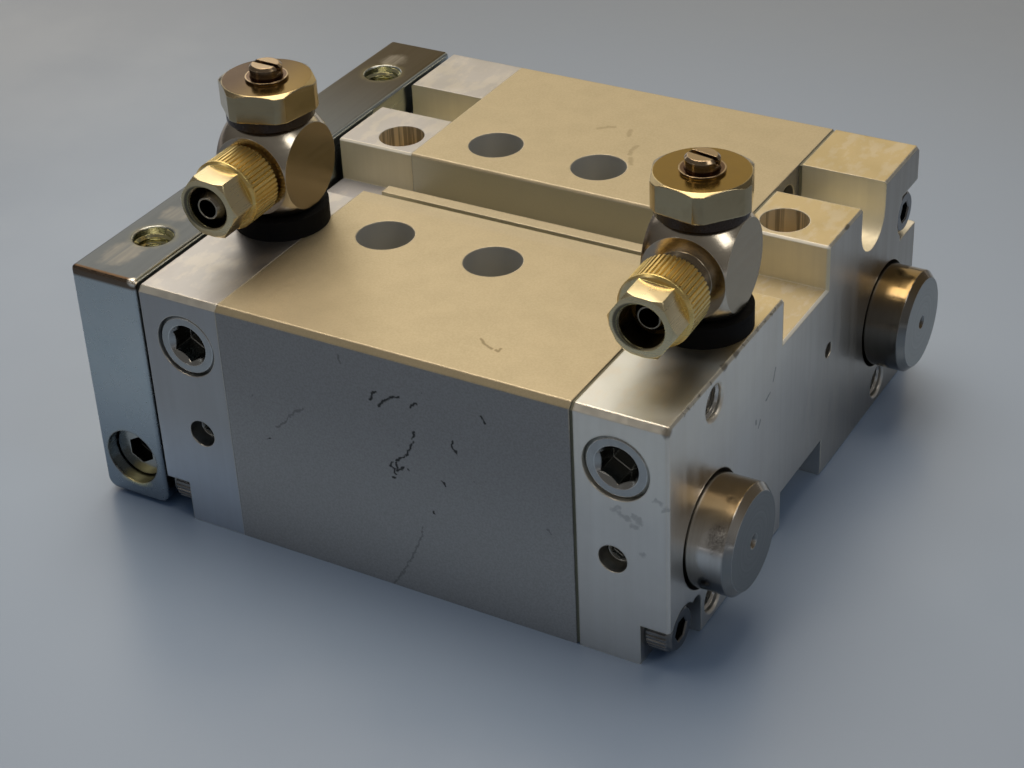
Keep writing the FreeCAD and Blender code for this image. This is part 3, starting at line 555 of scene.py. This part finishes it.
rearDents = [((50, -26.8, 38.9), (0.9, 1.0, 0.8)), ((50, -23.2, 38.9), (0.9, 1.2, 0.8)),
             ((50, -43.4, 38.7), (1.3, 1.2, 1.3)), ((50, -1.2, 39), (0.6, 0.7, 0.6)),
             ((50, 14.6, 38.9), (0.6, 1.2, 0.5))]


def machinedCover():
    look, share, pins = coverLook, coverLook["share"], coverLook["pinHoles"]
    f = Finish("machinedCover", look["metal"])
    inChannel = channelWalls(f)
    inSlot = f.times(f.band("y", *look["slotBand"]), f.above("z", *look["slotFloor"]))
    endFacing = f.unsigned(f.facing["x"])
    inSlot = f.times(inSlot, ramp(f.tree, endFacing, 0.4, 0.7, 1.0, 0.0))  # not on the end faces
    drilled = f.hole(f.offset("x", pins["middle"], pins["half"]), f.offset("y", pins["y"]), pins["radius"])
    milled = f.either(inChannel, inSlot)
    level = f.either(f.above("z", *look["topFrom"]), inChannel)
    upward = f.times(f.towards("z", 0.85, 0.97), level)
    slope = f.times(f.towards("z", 0.25, 0.5), level)
    rearEnd = f.above("x", 0, 10)
    upright = f.grain(900, (1, 1, 0.02))  # fine lines up and down the walls and holes
    across = f.grain(1100, (1, 0.03, 1))
    lines = f.over(upright, across, upward)
    cloud = f.grain(120)
    scuffs = f.contrast(f.grain(420, (1, 0.5, 1)), 0.35, 0.9)
    # painted light: the front cover's sides are painted darker than the rear cover's, lighter and bluer towards
    # the bottom; the rear sides are lighter up high, and the far part of the rear face darker
    colour = f.over(look["frontSide"], look["frontLow"], f.below("z", 5, 22))
    colour = f.over(colour, look["side"], rearEnd)
    colour = f.over(colour, look["upper"], f.times(rearEnd, f.above("z", 20, 36)))
    rearFar = f.times(f.towards("x", 0.8, 0.95), f.above("y", -25, 30))
    colour = f.over(colour, look["farFace"], rearFar)
    # painted light: the channel walls, the U slot and the pin holes are painted lighter and warmer, as if lit
    # inside
    colour = f.over(colour, look["wall"], inChannel)
    colour = f.over(colour, look["slot"], inSlot, share["slot"])
    colour = f.over(colour, look["bore"], drilled)
    streaks = f.times(drilled, f.contrast(upright, 0.35, 0.75))
    colour = f.over(colour, look["nick"], streaks, share["streak"])
    # painted reflection: the rear top is painted golden with a paler near part, and the front top grey, for the
    # light each one reflects
    flat = f.over(look["rear"], look["nearTop"], f.below("y", -28, -22))
    flat = f.over(look["front"], flat, rearEnd)
    flat = f.over(flat, look["scuff"], scuffs, share["scuff"])
    # painted highlight: the chamfers at the top are painted pale
    colour = f.over(colour, look["slope"], slope, share["slope"])
    colour = f.over(colour, flat, upward)
    colour = f.over(colour, look["dark"], lines, share["line"])
    colour = f.over(colour, look["dark"], cloud, share["cloud"])
    colour = f.over(colour, look["smudge"], f.strokes(coverSmudges), share["smudge"])
    colour = f.over(colour, look["smudge"], f.strokes(rearNicks), share["nick"])
    edgeWearAndGlint = f.edges(0.30, 260, 0.5)
    # the edges are brightened, partly worn bare metal and partly a painted highlight
    colour = f.over(colour, look["bare"], edgeWearAndGlint["Edge"], share["bare"])
    chips = f.times(f.strokes(rearChips), f.contrast(f.grain(700), 0.5, 0.8))
    chips = f.either(chips, f.spots(rearDents, 0.9))
    topEdge = f.times(edgeWearAndGlint["Nicks"], f.above("z", 36, 38))
    chips = f.either(chips, f.times(topEdge, share["topEdge"]))
    colour = f.over(colour, look["nick"], chips, share["chip"])
    through = f.either(drilled, inChannel)  # open places stay light
    # painted shade: the piece's own holes and sockets are darkened, while open places stay light
    shadedHollows = f.times(f.sunk(3.0), work(f.tree, "SUBTRACT", 1.0, through))
    colour = f.over(colour, look["deep"], shadedHollows, share["deep"])
    f.metal(look["metal"], (drilled, look["holeLoss"]), (milled, look["milledLoss"]))
    rough = f.between(f.over(lines, cloud, upward), look["rough"])
    rough = f.plus(rough, f.times(upward, look["topRough"]))
    rough = f.plus(rough, f.times(milled, look["milledRough"]))
    return f.done(colour, rough, lines, 0.03, 0.02, edgeWearAndGlint["Normal"])


yokeLook = {
    "zinc": (0.57, 0.62, 0.63, 1), "blue": (0.51, 0.58, 0.60, 1), "low": (0.27, 0.32, 0.37, 1),
    "near": (0.108, 0.122, 0.135, 1), "far": (0.050, 0.036, 0.015, 1), "wiped": (0.32, 0.30, 0.26, 1),
    "yellow": (0.55, 0.50, 0.22, 1), "brown": (0.13, 0.075, 0.035, 1), "glint": (0.95, 0.90, 0.80, 1),
    "gold": (0.95, 0.88, 0.50, 1), "rough": (0.20, 0.28), "topRough": 0.16,
    "share": {"wiped": 0.6, "yellow": 0.30, "edge": 0.35, "nick": 0.4, "nearEdge": 0.9, "gold": 0.85}}
yokeSpots = {
    "wiped": [((-40.5, -37, 39), (3.5, 5, 3)), ((-40.5, -24, 39), (3.0, 3, 3)), ((-40.5, 36, 39), (3.0, 3, 3))],
    "tapped": [((-39.55, -31, 38), (4.4, 4.4, 6)), ((-39.55, 31, 38), (4.4, 4.4, 6)),
               ((-39.55, -43, 7.5), (5.6, 3, 5.6))],
    "gold": [((-39.4, -42, 3.4), (3.6, 2.4, 1.3))],
    "glint": [((-34.2, -42.7, 38.9), (1.1, 0.9, 0.9))]}


def zincYoke():
    look, share = yokeLook, yokeLook["share"]
    f = Finish("zincYoke", 1.0)
    upward = f.towards("z", 0.75, 0.97)
    brushed = f.grain(700, (1, 0.04, 1))
    colour = f.over(look["zinc"], look["blue"], f.grain(60))
    # painted shade: darker towards the bottom
    colour = f.over(colour, look["low"], f.below("z", 2, 26))
    # painted reflection: the near part of the top is painted grey-blue and the far part dark brown
    flat = f.over(look["near"], look["far"], f.above("y", 2, 38))
    wiped = f.times(f.spots(yokeSpots["wiped"], 0.7), brushed)
    flat = f.over(flat, look["wiped"], wiped, share["wiped"])
    colour = f.over(colour, flat, upward)
    colour = f.over(colour, look["yellow"], f.spots(yokeSpots["tapped"], 0.3), share["yellow"])
    edgeWearAndGlint = f.edges(0.4, 240, 0.6)
    colour = f.over(colour, look["brown"], edgeWearAndGlint["Edge"], share["edge"])
    colour = f.over(colour, look["brown"], edgeWearAndGlint["Nicks"], share["nick"])
    # painted reflection: a brown band along the near top edge gives the look of a rounded edge
    nearEdge = f.times(f.below("y", -42.5, -42.2), f.above("z", 37.4, 38.0))
    colour = f.over(colour, look["brown"], nearEdge, share["nearEdge"])
    # painted reflection: a golden patch low in the clamp screw's counterbore
    colour = f.over(colour, look["gold"], f.spots(yokeSpots["gold"], 0.3), share["gold"])
    colour = f.over(colour, look["glint"], f.spots(yokeSpots["glint"], 0.3))
    rough = f.plus(f.between(brushed, look["rough"]), f.times(upward, look["topRough"]))
    return f.done(colour, rough, f.times(brushed, upward), 0.06, 0.02, edgeWearAndGlint["Normal"])


rodLook = {
    "steel": (0.86, 0.85, 0.82, 1), "dark": (0.12, 0.11, 0.095, 1), "oil": (0.28, 0.18, 0.055, 1),
    "face": (0.225, 0.24, 0.245, 1), "farFace": (0.43, 0.44, 0.42, 1), "turned": (0.19, 0.195, 0.20, 1),
    "edge": (0.75, 0.75, 0.74, 1), "rust": (0.05, 0.03, 0.015, 1),
    "rough": (0.12, 0.20), "faceRough": (0.30, 0.42),
    "axis": {"y": 31.0, "z": 15.7}, "worn": [((54.0, -38.0, 20.0), (1.8, 2.8, 2.8))],
    "share": {"ring": 0.18, "under": 0.8, "farRod": 0.75, "oil": 0.85, "worn": 0.7, "rimOil": 0.7,
              "rim": 0.9, "turned": 0.4, "edge": 0.4, "centre": 0.4}}


def hardenedRod():
    look, share, axis = rodLook, rodLook["share"], rodLook["axis"]
    f = Finish("hardenedRod", 1.0)
    upward = f.towards("z", 0.45, 0.9)
    endFace = f.towards("x", 0.8, 0.95)
    farRod = f.above("y", 0, 5)
    outside = f.above("x", 50, 50.6)
    rim = f.above("x", 55.0, 55.4)
    rings = f.grain(1300, (1, 0.02, 0.02))
    worn = f.times(f.spots(look["worn"], 0.6), f.grain(4200))
    colour = f.over(look["steel"], look["dark"], rings, share["ring"])
    # painted shade: the rods are darker underneath, and the far rod darker all over
    colour = f.over(colour, look["dark"], f.against("z", -0.3, 0.42), share["under"])
    colour = f.over(colour, look["dark"], farRod, share["farRod"])
    # the tops of the rods and of their end chamfers are golden brown: an oil film and a painted warm reflection
    colour = f.over(colour, look["oil"], f.times(upward, outside), share["oil"])
    colour = f.over(colour, look["rust"], worn, share["worn"])
    colour = f.over(colour, look["oil"], f.times(rim, upward), share["rimOil"])
    # painted shade: the lower part of the end chamfer takes the dark end-face colour
    colour = f.over(colour, look["face"], f.times(rim, f.against("z", 0.1, 0.6)), share["rim"])
    # turning marks run round each rod's own axis on its end
    reach = f.reach(f.offset("y", 0, axis["y"]), f.offset("z", axis["z"]))
    turning = noise(f.tree, addNode(f.tree, "CombineXYZ", {"X": reach}).outputs[0], 2600.0, 3.0)
    # painted light: the far rod's end face is painted lighter than the near one
    ends = f.over(look["face"], look["farFace"], farRod)
    ends = f.over(ends, look["turned"], turning, share["turned"])
    colour = f.over(colour, ends, endFace)
    edgeWearAndGlint = f.edges(0.25, 500, 0.5)
    # painted highlight: the edges are lightened
    colour = f.over(colour, look["edge"], edgeWearAndGlint["Edge"], share["edge"])
    # painted shade: the centre hole is darkened; the same dark colour marks the real pitting of the worn patch
    colour = f.over(colour, look["rust"], f.within(reach, 0.7, 1.0), share["centre"])
    faceRough = ramp(f.tree, turning, 0.3, 0.7, *look["faceRough"])
    rough = f.over(f.between(rings, look["rough"]), faceRough, endFace)
    return f.done(colour, rough, f.over(worn, turning, endFace), 0.1, 0.02, edgeWearAndGlint["Normal"])


valvePlaces = {"front": {"x": -25.5, "branch": 1.0, "nutStart": 7.0},
               "rear": {"x": 42.5, "branch": 2.5, "nutStart": 9.4}}
valveAcross = {"y": -18.2, "branchHeight": 49.0, "middle": 8.5, "half": 34, "mouthHalf": 34.3}


def nutHex(f):
    # the hexagon of a union nut, from its border with the knurled collar outwards
    loosened = valvePlaces["rear"]["nutStart"] - valvePlaces["front"]["nutStart"]
    border = f.plus(f.where["y"], f.times(f.above("x", 0, 10), loosened * mm))
    return f.within(border, -31.3, -31.1)


def nutBore(f):
    # painted shade in the mouth and the thread of a union nut
    sideways = f.offset("x", valveAcross["middle"], valveAcross["mouthHalf"])
    return f.within(f.reach(sideways, f.offset("z", valveAcross["branchHeight"])), 3.2, 3.5)


def nippleEnd(f):
    # painted shade: the end of the nipple inside the union nut is darkened
    return f.below("y", -26.5, -25.5)


def neckDisc(f):
    # the shaded shoulder of the ball behind the nut and under the head
    return f.times(f.against("y", -0.85, -0.6), f.above("y", -26.0, -24.0))


def ballFlat(f):
    # painted reflection: the flats of the ball are painted darker and golden
    return f.contrast(f.unsigned(f.facing["x"]), 0.97, 0.99)


def ballShade(f):
    # painted reflection: the left shoulder of the ball is painted dark brown
    return f.times(f.against("x", -0.75, -0.1), f.towards("z", -0.2, 0.3))


def ringInside(f):
    # painted shade on the flat of the retaining ring, inside its bright rim
    sideways = f.offset("x", valveAcross["middle"], valveAcross["half"])
    away = f.reach(sideways, f.offset("y", valveAcross["y"]))
    return f.times(f.below("z", 62.3, 62.5), f.within(away, 2.8, 2.95))


def plugSocket(f):
    return f.within(f.unsigned(f.where["y"]), 41.9, 42.7)


def clampSocket(f):
    # painted shade in the sockets of the pinch screws
    return f.within(f.unsigned(f.where["y"]), 39.9, 40.6)


# Each shade of a fitting is a colour, its share and the place that it is on
platedPlain = {"patchy": 0.5, "film": 0.3, "top": None, "glint": None, "edge": 0.16, "edgeShare": 0.6,
               "deep": 0.85, "shades": []}
hollowShadeColour = (0.03, 0.028, 0.024, 1)
platedLooks = {
    # painted shade: this zinc of the cover screws is darker than the pinch screws' clampZinc
    "zincScrew": {"bright": (0.24, 0.24, 0.24, 1), "tint": (0.18, 0.18, 0.18, 1),
                  "stain": (0.10, 0.09, 0.07, 1), "rough": 0.18},
    "platedPlug": {"bright": (0.46, 0.47, 0.46, 1), "tint": (0.38, 0.39, 0.39, 1),
                   "stain": (0.12, 0.10, 0.09, 1), "rough": 0.14, "patchy": 0.4, "film": 0.1,
                   "glint": (0.98, 0.97, 0.92, 1), "edge": 0.3, "edgeShare": 0.9, "deep": 0.5,
                   "shades": [((0.10, 0.105, 0.09, 1), 0.7, plugSocket)]},
    "bronzeBush": {"bright": (0.50, 0.34, 0.16, 1), "tint": (0.40, 0.26, 0.11, 1),
                   "stain": (0.18, 0.11, 0.05, 1), "rough": 0.25},
    "pistonAluminium": {"bright": (0.68, 0.68, 0.67, 1), "tint": (0.55, 0.55, 0.54, 1),
                        "stain": (0.3, 0.29, 0.27, 1), "rough": 0.25},
    "nickelBrass": {"bright": (0.50, 0.42, 0.26, 1), "tint": (0.43, 0.35, 0.21, 1),
                    "stain": (0.16, 0.11, 0.05, 1), "rough": 0.15, "patchy": 0.4, "film": 0.10,
                    "top": ((0.058, 0.027, 0.006, 1), (0.27, 0.175, 0.038, 1)),
                    "glint": (0.85, 0.75, 0.50, 1), "edge": 0.22, "edgeShare": 0.8},
    "darkNickel": {"bright": (0.72, 0.66, 0.55, 1), "tint": (0.64, 0.57, 0.45, 1),
                   "stain": (0.15, 0.085, 0.045, 1), "rough": 0.18, "patchy": 0.3, "film": 0.05,
                   "shades": [((0.40, 0.32, 0.20, 1), 0.9, ballFlat), ((0.10, 0.05, 0.025, 1), 0.75, ballShade),
                              ((0.16, 0.10, 0.06, 1), 0.6, neckDisc), ((0.24, 0.21, 0.16, 1), 0.8, nippleEnd)]},
    "copperRing": {"bright": (0.42, 0.32, 0.21, 1), "tint": (0.33, 0.23, 0.13, 1),
                   "stain": (0.08, 0.045, 0.025, 1), "rough": 0.16, "patchy": 0.3, "film": 0.08,
                   "shades": [((0.09, 0.04, 0.018, 1), 0.9, ringInside)]},
    "nutGold": {"bright": (1.0, 0.74, 0.28, 1), "tint": (0.92, 0.65, 0.23, 1),
                "stain": (0.30, 0.19, 0.05, 1), "rough": 0.26, "patchy": 0.4, "film": 0.10,
                "shades": [((0.74, 0.65, 0.43, 1), 0.9, nutHex), ((0.05, 0.047, 0.04, 1), 0.85, nutBore)]},
    "clampZinc": {"bright": (0.46, 0.47, 0.45, 1), "tint": (0.36, 0.37, 0.34, 1),
                  "stain": (0.14, 0.12, 0.08, 1), "rough": 0.16, "patchy": 0.4, "film": 0.1,
                  "shades": [(hollowShadeColour, 0.9, clampSocket)]},
    "threadZinc": {"bright": (0.62, 0.58, 0.30, 1), "tint": (0.50, 0.50, 0.40, 1),
                   "stain": (0.20, 0.16, 0.05, 1), "rough": 0.14},
    "threadBare": {"bright": (0.66, 0.65, 0.62, 1), "tint": (0.50, 0.49, 0.46, 1),
                   "stain": (0.25, 0.2, 0.14, 1), "rough": 0.16},
}


def platedMetal(name):
    # a plated fitting: two tones, a darker film in spots, painted highlights and dark nicks on the edges,
    # painted shade in the sockets and holes
    look = {**platedPlain, **platedLooks[name]}
    f = Finish(name, 1.0)
    turned = f.grain(1800, (0.05, 0.05, 1))
    colour = f.over(look["bright"], look["tint"], f.grain(260), look["patchy"])
    if look["top"]:
        # painted reflection: the tops of the heads are painted brown and golden for the warm light they reflect
        brown, gold = look["top"]  # the front head is brown on the left, the rear one is golden
        flat = f.over(brown, gold, f.above("x", -30, -19), 0.8)
        flat = f.over(flat, gold, f.above("x", 0, 10))
        colour = f.over(colour, flat, f.towards("z", 0.8, 0.98))
    colour = f.over(colour, look["stain"], f.contrast(f.grain(620), 0.55, 0.95), look["film"])
    for shade, share, place in look["shades"]:
        colour = f.over(colour, shade, place(f), share)
    edgeWearAndGlint = f.edges(look["edge"], 700, 0.5)
    glint = look["glint"] or tuple(min(1.0, 1.45 * v) for v in look["bright"][:3]) + (1,)
    # painted highlight on the edges
    colour = f.over(colour, glint, edgeWearAndGlint["Edge"], look["edgeShare"])
    colour = f.over(colour, look["stain"], edgeWearAndGlint["Nicks"], 0.25)
    # painted shade: the piece's own holes and sockets are darkened
    colour = f.over(colour, hollowShadeColour, f.sunk(3.0), look["deep"])
    satin = f.between(turned, (look["rough"], look["rough"] + 0.06))
    return f.done(colour, satin, turned, 0.02, 0.01, edgeWearAndGlint["Normal"])


softLooks = {
    "blackRubber": {"base": (0.006, 0.0056, 0.0055, 1), "dust": (0.03, 0.026, 0.021, 1),
                    "rough": 0.65, "share": 0.10, "shine": 0.1},
    "fibreGasket": {"base": (0.20, 0.19, 0.13, 1), "dust": (0.25, 0.23, 0.14, 1),
                    "rough": 0.6, "share": 0.4, "shine": 0.1},
    "darkWasher": {"base": (0.040, 0.025, 0.016, 1), "dust": (0.05, 0.04, 0.028, 1),
                   "rough": 0.25, "share": 0.15, "shine": 0.3},
    "bondedMagnet": {"base": (0.045, 0.045, 0.052, 1), "dust": (0.16, 0.15, 0.14, 1),
                     "rough": 0.5, "share": 0.3, "shine": 0.3},
    "wearPlastic": {"base": (0.30, 0.22, 0.12, 1), "dust": (0.42, 0.34, 0.22, 1),
                    "rough": 0.4, "share": 0.5, "shine": 0.4},
}


def softPart(name):
    # rubber, fibre and plastic, with a little dust and handling marks
    look = softLooks[name]
    f = Finish(name, 0.0, Specular_IOR_Level=look["shine"])
    powder = f.times(f.grain(900), f.grain(150))
    colour = f.over(look["base"], look["dust"], powder, look["share"])
    colour = f.over(colour, look["dust"], f.hairs(320, 0.02, 0.4), look["share"] * 0.6)
    satin = f.between(powder, (look["rough"], look["rough"] + 0.2))
    return f.done(colour, satin, f.grain(1800), 0.15, 0.03)


finishes = {"anodisedBarrel": anodisedBarrel(), "machinedCover": machinedCover(), "zincYoke": zincYoke(),
            "hardenedRod": hardenedRod()}
finishes.update({name: softPart(name) for name in softLooks})
finishes.update({name: platedMetal(name) for name in platedLooks})


def finishOf(slot):
    first, *others = slot.split("_")
    return finishes[first + "".join(word.capitalize() for word in others)]


slotOf = {part["node"]: part["material_slot"] for part in frame["record"]["subparts"]}
for name, node in nodes.items():
    # painted shade: the cover screws' zinc is painted darker than the pinch screws' zinc
    clamp = name == "yoke_clamp_screws"  # the pinch screws are paler than the cover screws
    node.data.materials.clear()
    node.data.materials.append(finishes["clampZinc"] if clamp else finishOf(slotOf[name]))
print("finishes on", len(nodes), "nodes")


# New pieces

def fit(piece, body, slot, finish, *standsFor):
    piece.data.materials.clear()
    piece.data.materials.append(finishes[finish])
    if standsFor:
        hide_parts(*standsFor)
    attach(piece, body)


unionNut = {"teeth": 48, "collar": 5.25, "collarLength": 6.0, "groove": 0.28, "rim": 0.55, "chamfer": 0.25,
            "hexFlats": 8.5, "hexLength": 4.1, "hexTurn": 25.0, "hexBevel": 0.07, "coneHeight": 0.75,
            "coneIn": 0.62, "mouth": 3.1, "mouthFlare": 0.5, "thread": 4.03, "threadDepth": 5.5}


def makeUnionNut():
    n = unionNut
    outer, low, length, chamfer = n["collar"], n["rim"], n["collarLength"], n["chamfer"]
    waist = outer - n["groove"]
    foot = waist - 0.1
    rings = [(foot, 0), (outer, chamfer), (outer, low), (outer, low + chamfer),
             (outer, length - low - chamfer), (outer, length - low), (outer, length - chamfer), (foot, length)]
    nut = turnedBlank("unionNut", 4 * n["teeth"], rings)
    flute(nut, n["teeth"], -0.1, length - low - 0.15, waist / outer)
    corner = n["hexFlats"] / math.sqrt(3)
    top = length + n["hexLength"]
    hexPart = turnedBlank("nutHex", 6, [(corner, length - 0.5), (corner, top)], n["hexTurn"])
    wide = corner + 0.2
    cone = [(wide, length - 1), (wide, top - n["coneHeight"]), (corner - n["coneIn"], top + 0.05)]
    carve(hexPart, turnedBlank("nutCone", 96, cone), "INTERSECT")
    breakEdges(hexPart, n["hexBevel"])
    carve(nut, hexPart, "UNION")
    mouth, flare = n["mouth"], n["mouthFlare"]
    bore = [(n["thread"], -1), (n["thread"], n["threadDepth"]), (mouth, n["threadDepth"] + 0.5),
            (mouth, top - 0.25), (mouth + flare, top + 0.25)]
    carve(nut, turnedBlank("nutBore", 72, bore), "DIFFERENCE")
    return nut


nut = makeUnionNut()
for end, valve in valvePlaces.items():
    copy = copyOf(nut, end + "UnionNut")
    turn = Matrix.Rotation(math.radians(valve["branch"]), 4, "Z")
    stand = Matrix.Translation(Vector((valve["x"], valveAcross["y"], valveAcross["branchHeight"])) * mm)
    out = Matrix.Translation(Vector((0, -valve["nutStart"] * mm, 0)))
    putDown(copy, stand @ turn @ out @ Matrix.Rotation(math.radians(90), 4, "X"))
    copy = gather([copy], end + "UnionNut")
    fit(copy, end + "_valve_arm", "nickel_brass", "nutGold", end + "_valve_union_nut")
bpy.data.objects.remove(nut)
print("union nuts knurled")


threadSizes = {"M6": {"outer": 3.0, "pitch": 1.0, "crest": 2.5},
               "M5": {"outer": 2.5, "pitch": 0.8, "crest": 2.08}}
threadCut = {"start": 0.75, "sunk": 0.03, "width": 0.46, "steps": 40}  # sunk is into the wall, width in pitches


def makeThread(size, depth):
    # one triangle beside the wall, wound down the hole with Screw
    s, start = threadSizes[size], threadCut["start"]
    deselectAll()
    bpy.ops.mesh.primitive_circle_add(vertices=3, radius=1.0, fill_type="NOTHING")
    ridge = bpy.context.object
    tall = (s["outer"] + threadCut["sunk"] - s["crest"]) / 1.5
    wide = threadCut["width"] * s["pitch"] / math.cos(math.radians(30))
    stand = Matrix(((0, -1, 0, 0), (0, 0, -1, 0), (1, 0, 0, 0), (0, 0, 0, 1)))
    flank = Matrix.Diagonal((wide * mm, tall * mm, mm, 1))
    putDown(ridge, Matrix.Translation(((s["crest"] + tall) * mm, 0, start * mm)) @ stand @ flank)
    wind = ridge.modifiers.new("wind", "SCREW")
    wind.axis = "Z"
    wind.screw_offset = s["pitch"] * mm
    wind.iterations = int((depth - start) / s["pitch"])
    wind.steps = threadCut["steps"]
    wind.render_steps = threadCut["steps"]
    makeActive(ridge)
    bpy.ops.object.modifier_apply(modifier=wind.name)
    openEdit(ridge, "VERT")
    bpy.ops.mesh.select_all(action="SELECT")
    bpy.ops.mesh.fill_holes(sides=4)
    closeEdit()
    return ridge


tappedHoles = {
    "yokeTopThreads": {"size": "M6", "depth": 9.5, "body": "carriage", "slot": "zinc_yoke",
                       "finish": "threadZinc", "down": (0, 0, -1),
                       "mouths": [(-39.55, -31, 39.2), (-39.55, 31, 39.2)]},
    "yokeFrontThreads": {"size": "M6", "depth": 11.2, "body": "carriage", "slot": "zinc_yoke",
                         "finish": "threadZinc", "down": (1, 0, 0),
                         "mouths": [(-45.3, y, z) for y in (-16, 16) for z in (7.85, 31.85)]},
    "rearThreads": {"size": "M5", "depth": 9.5, "body": "housing", "slot": "machined_cover",
                    "finish": "threadBare", "down": (-1, 0, 0),
                    "mouths": [(50, -30, 35.2), (50, -30, 3.8), (50, 30, 3.8)]},
}
for name, holes in tappedHoles.items():
    ridge = makeThread(holes["size"], holes["depth"])
    ridges = []
    for count, mouth in enumerate(holes["mouths"]):
        turn = copyOf(ridge, name + str(count))
        putDown(turn, aimed(mouth, holes["down"]))
        ridges.append(turn)
    fit(gather(ridges, name), holes["body"], holes["slot"], holes["finish"])
    bpy.data.objects.remove(ridge)
print("threads cut")


capScrew = {"teeth": 30, "head": 3.5, "headHeight": 4.0, "groove": 0.22, "shank": 2.0, "tip": 0.4,
            "knurlFrom": 0.45, "knurlTo": 0.85, "socket": 3.0, "socketDepth": 2.2, "socketFlare": 0.35}


def makeCapScrew(length):
    # the seat is at height 0, and the head stands above it
    c = capScrew
    head, tall, shank, tip = c["head"], c["headHeight"], c["shank"], c["tip"]
    inner = head - c["groove"] - 0.08
    low, high = c["knurlFrom"], tall - c["knurlTo"]
    steps = [(shank - tip, -length), (shank, tip - length), (shank, 0), (inner - 0.1, 0.01), (inner, 0.25),
             (head, low), (head, high), (inner, tall - 0.6), (inner, tall - 0.3), (inner - 0.3, tall)]
    screw = turnedBlank("capScrew", 4 * c["teeth"], steps)
    flute(screw, c["teeth"], low - 0.01, high + 0.01, (head - c["groove"]) / head)
    corner, floor = c["socket"] / math.sqrt(3), tall - c["socketDepth"]
    socket = [(corner * 0.5, floor - 0.35), (corner, floor), (corner, tall - 0.2),
              (corner + c["socketFlare"], tall + 0.15)]
    carve(screw, turnedBlank("socket", 6, socket), "DIFFERENCE")
    return screw


coverScrews = {
    "front": {"seat": -28.7, "inward": 1, "shank": 17.2},
    "rear": {"seat": 45.7, "inward": -1, "shank": 17.7},
}
screwPlaces = [(-39.3, 4.5), (39.0, 29.4)]
for end, cover in coverScrews.items():
    screw = makeCapScrew(cover["shank"])
    screws = []
    for count, (y, z) in enumerate(screwPlaces):
        copy = copyOf(screw, end + "Screw" + str(count))
        putDown(copy, aimed((cover["seat"], y, z), (-cover["inward"], 0, 0)))
        screws.append(copy)
    fit(gather(screws, end + "CoverScrews"), "housing", "zinc_screw", "zincScrew", end + "_cover_screws")
    bpy.data.objects.remove(screw)
print("cap screws knurled")


# Floor, lamps and camera

floorLook = {"pale": (0.275, 0.335, 0.42, 1), "cool": (0.25, 0.32, 0.41, 1), "back": (0.175, 0.205, 0.25, 1),
             "far": (0.80, 0.82, 0.85, 1), "backFrom": (0.07, 0.21), "farFrom": (0.22, 0.55),
             "rough": (0.28, 0.38), "shine": 0.8, "half": 3.0}


def makeFloor():
    deselectAll()
    bpy.ops.mesh.primitive_plane_add(size=2 * floorLook["half"], location=(0, 0, 0))
    floor = bpy.context.object
    floor.name = "floor"
    f = Finish("floorPaint", 0.0, Specular_IOR_Level=floorLook["shine"])
    away = measure(f.tree, "LENGTH", f.place)
    colour = f.over(floorLook["pale"], floorLook["cool"], f.grain(2.2))
    # painted shade: the floor darkens a few centimetres out from the part, and turns pale again far away
    colour = f.over(colour, floorLook["back"], f.contrast(away, *floorLook["backFrom"]))
    colour = f.over(colour, floorLook["far"], f.contrast(away, *floorLook["farFrom"]))
    rough = f.between(f.grain(14), floorLook["rough"])
    floor.data.materials.append(f.done(colour, rough, f.grain(1100), 0.05, 0.04))


lamps = {
    "overhead": {"place": (-0.26, 0.24, 1.18), "aim": (0, 0, 0), "size": (0.9, 0.9), "power": 11.3,
                 "tint": (1.0, 0.87, 0.72)},
    "warmBack": {"place": (-0.43, 1.05, 0.63), "aim": (0, 0, 0.03), "size": (1.3, 1.0), "power": 2.2,
                 "tint": (1.0, 0.85, 0.56)},
    "paleLeft": {"place": (-0.93, 0.65, 0.63), "aim": (0, 0, 0.03), "size": (0.7, 0.9), "power": 1.5,
                 "tint": (1.0, 0.97, 0.93)},
    "glintRight": {"place": (0.66, -0.06, 0.74), "aim": (0, 0, 0.04), "size": (0.30, 0.42), "power": 1.0,
                   "tint": (1.0, 0.95, 0.88)},
    "glintLeft": {"place": (-0.437, -0.719, 0.539), "aim": (0, 0, 0.04), "size": (0.16, 0.10), "power": 0.15,
                  "tint": (1.0, 0.98, 0.95)},
}


def addLamp(name, look):
    bpy.ops.object.light_add(type="AREA", location=look["place"])
    lamp = bpy.context.object
    lamp.name = name
    lamp.data.shape = "RECTANGLE"
    lamp.data.size, lamp.data.size_y = look["size"]
    lamp.data.energy = look["power"]
    lamp.data.color = look["tint"]
    beam = Vector(look["aim"]) - Vector(look["place"])
    lamp.rotation_euler = beam.to_track_quat("-Z", "Y").to_euler()


roomLook = {"light": (0.088, 0.128, 0.194, 1), "seen": (0.125, 0.118, 0.11, 1)}


def makeRoom():
    # cool light on the surfaces, and a plain warm grey in view and in reflections
    world = bpy.data.worlds.new("room")
    bpy.context.scene.world = world
    world.use_nodes = True
    tree = world.node_tree
    diffuse = addNode(tree, "LightPath").outputs["Is Diffuse Ray"]
    room = blend(tree, diffuse, roomLook["seen"], roomLook["light"])
    plug(tree, tree.nodes["Background"].inputs["Color"], room)


makeFloor()
for name, look in lamps.items():
    addLamp(name, look)
makeRoom()
print("floor and lamps placed")

shot = {"place": (0.14757, -0.24053, 0.18771), "turn": (57.2686, 2.5007, 29.6844), "lens": 75.43,
        "sensor": 36, "nearest": 0.01}
deselectAll()
bpy.ops.object.camera_add(location=shot["place"], rotation=[math.radians(a) for a in shot["turn"]])
camera = bpy.context.object
camera.name = "shotCamera"
camera.data.sensor_width = shot["sensor"]
camera.data.lens = shot["lens"]
camera.data.clip_start = shot["nearest"]
bpy.context.scene.camera = camera
bpy.context.scene.view_settings.view_transform = "Standard"
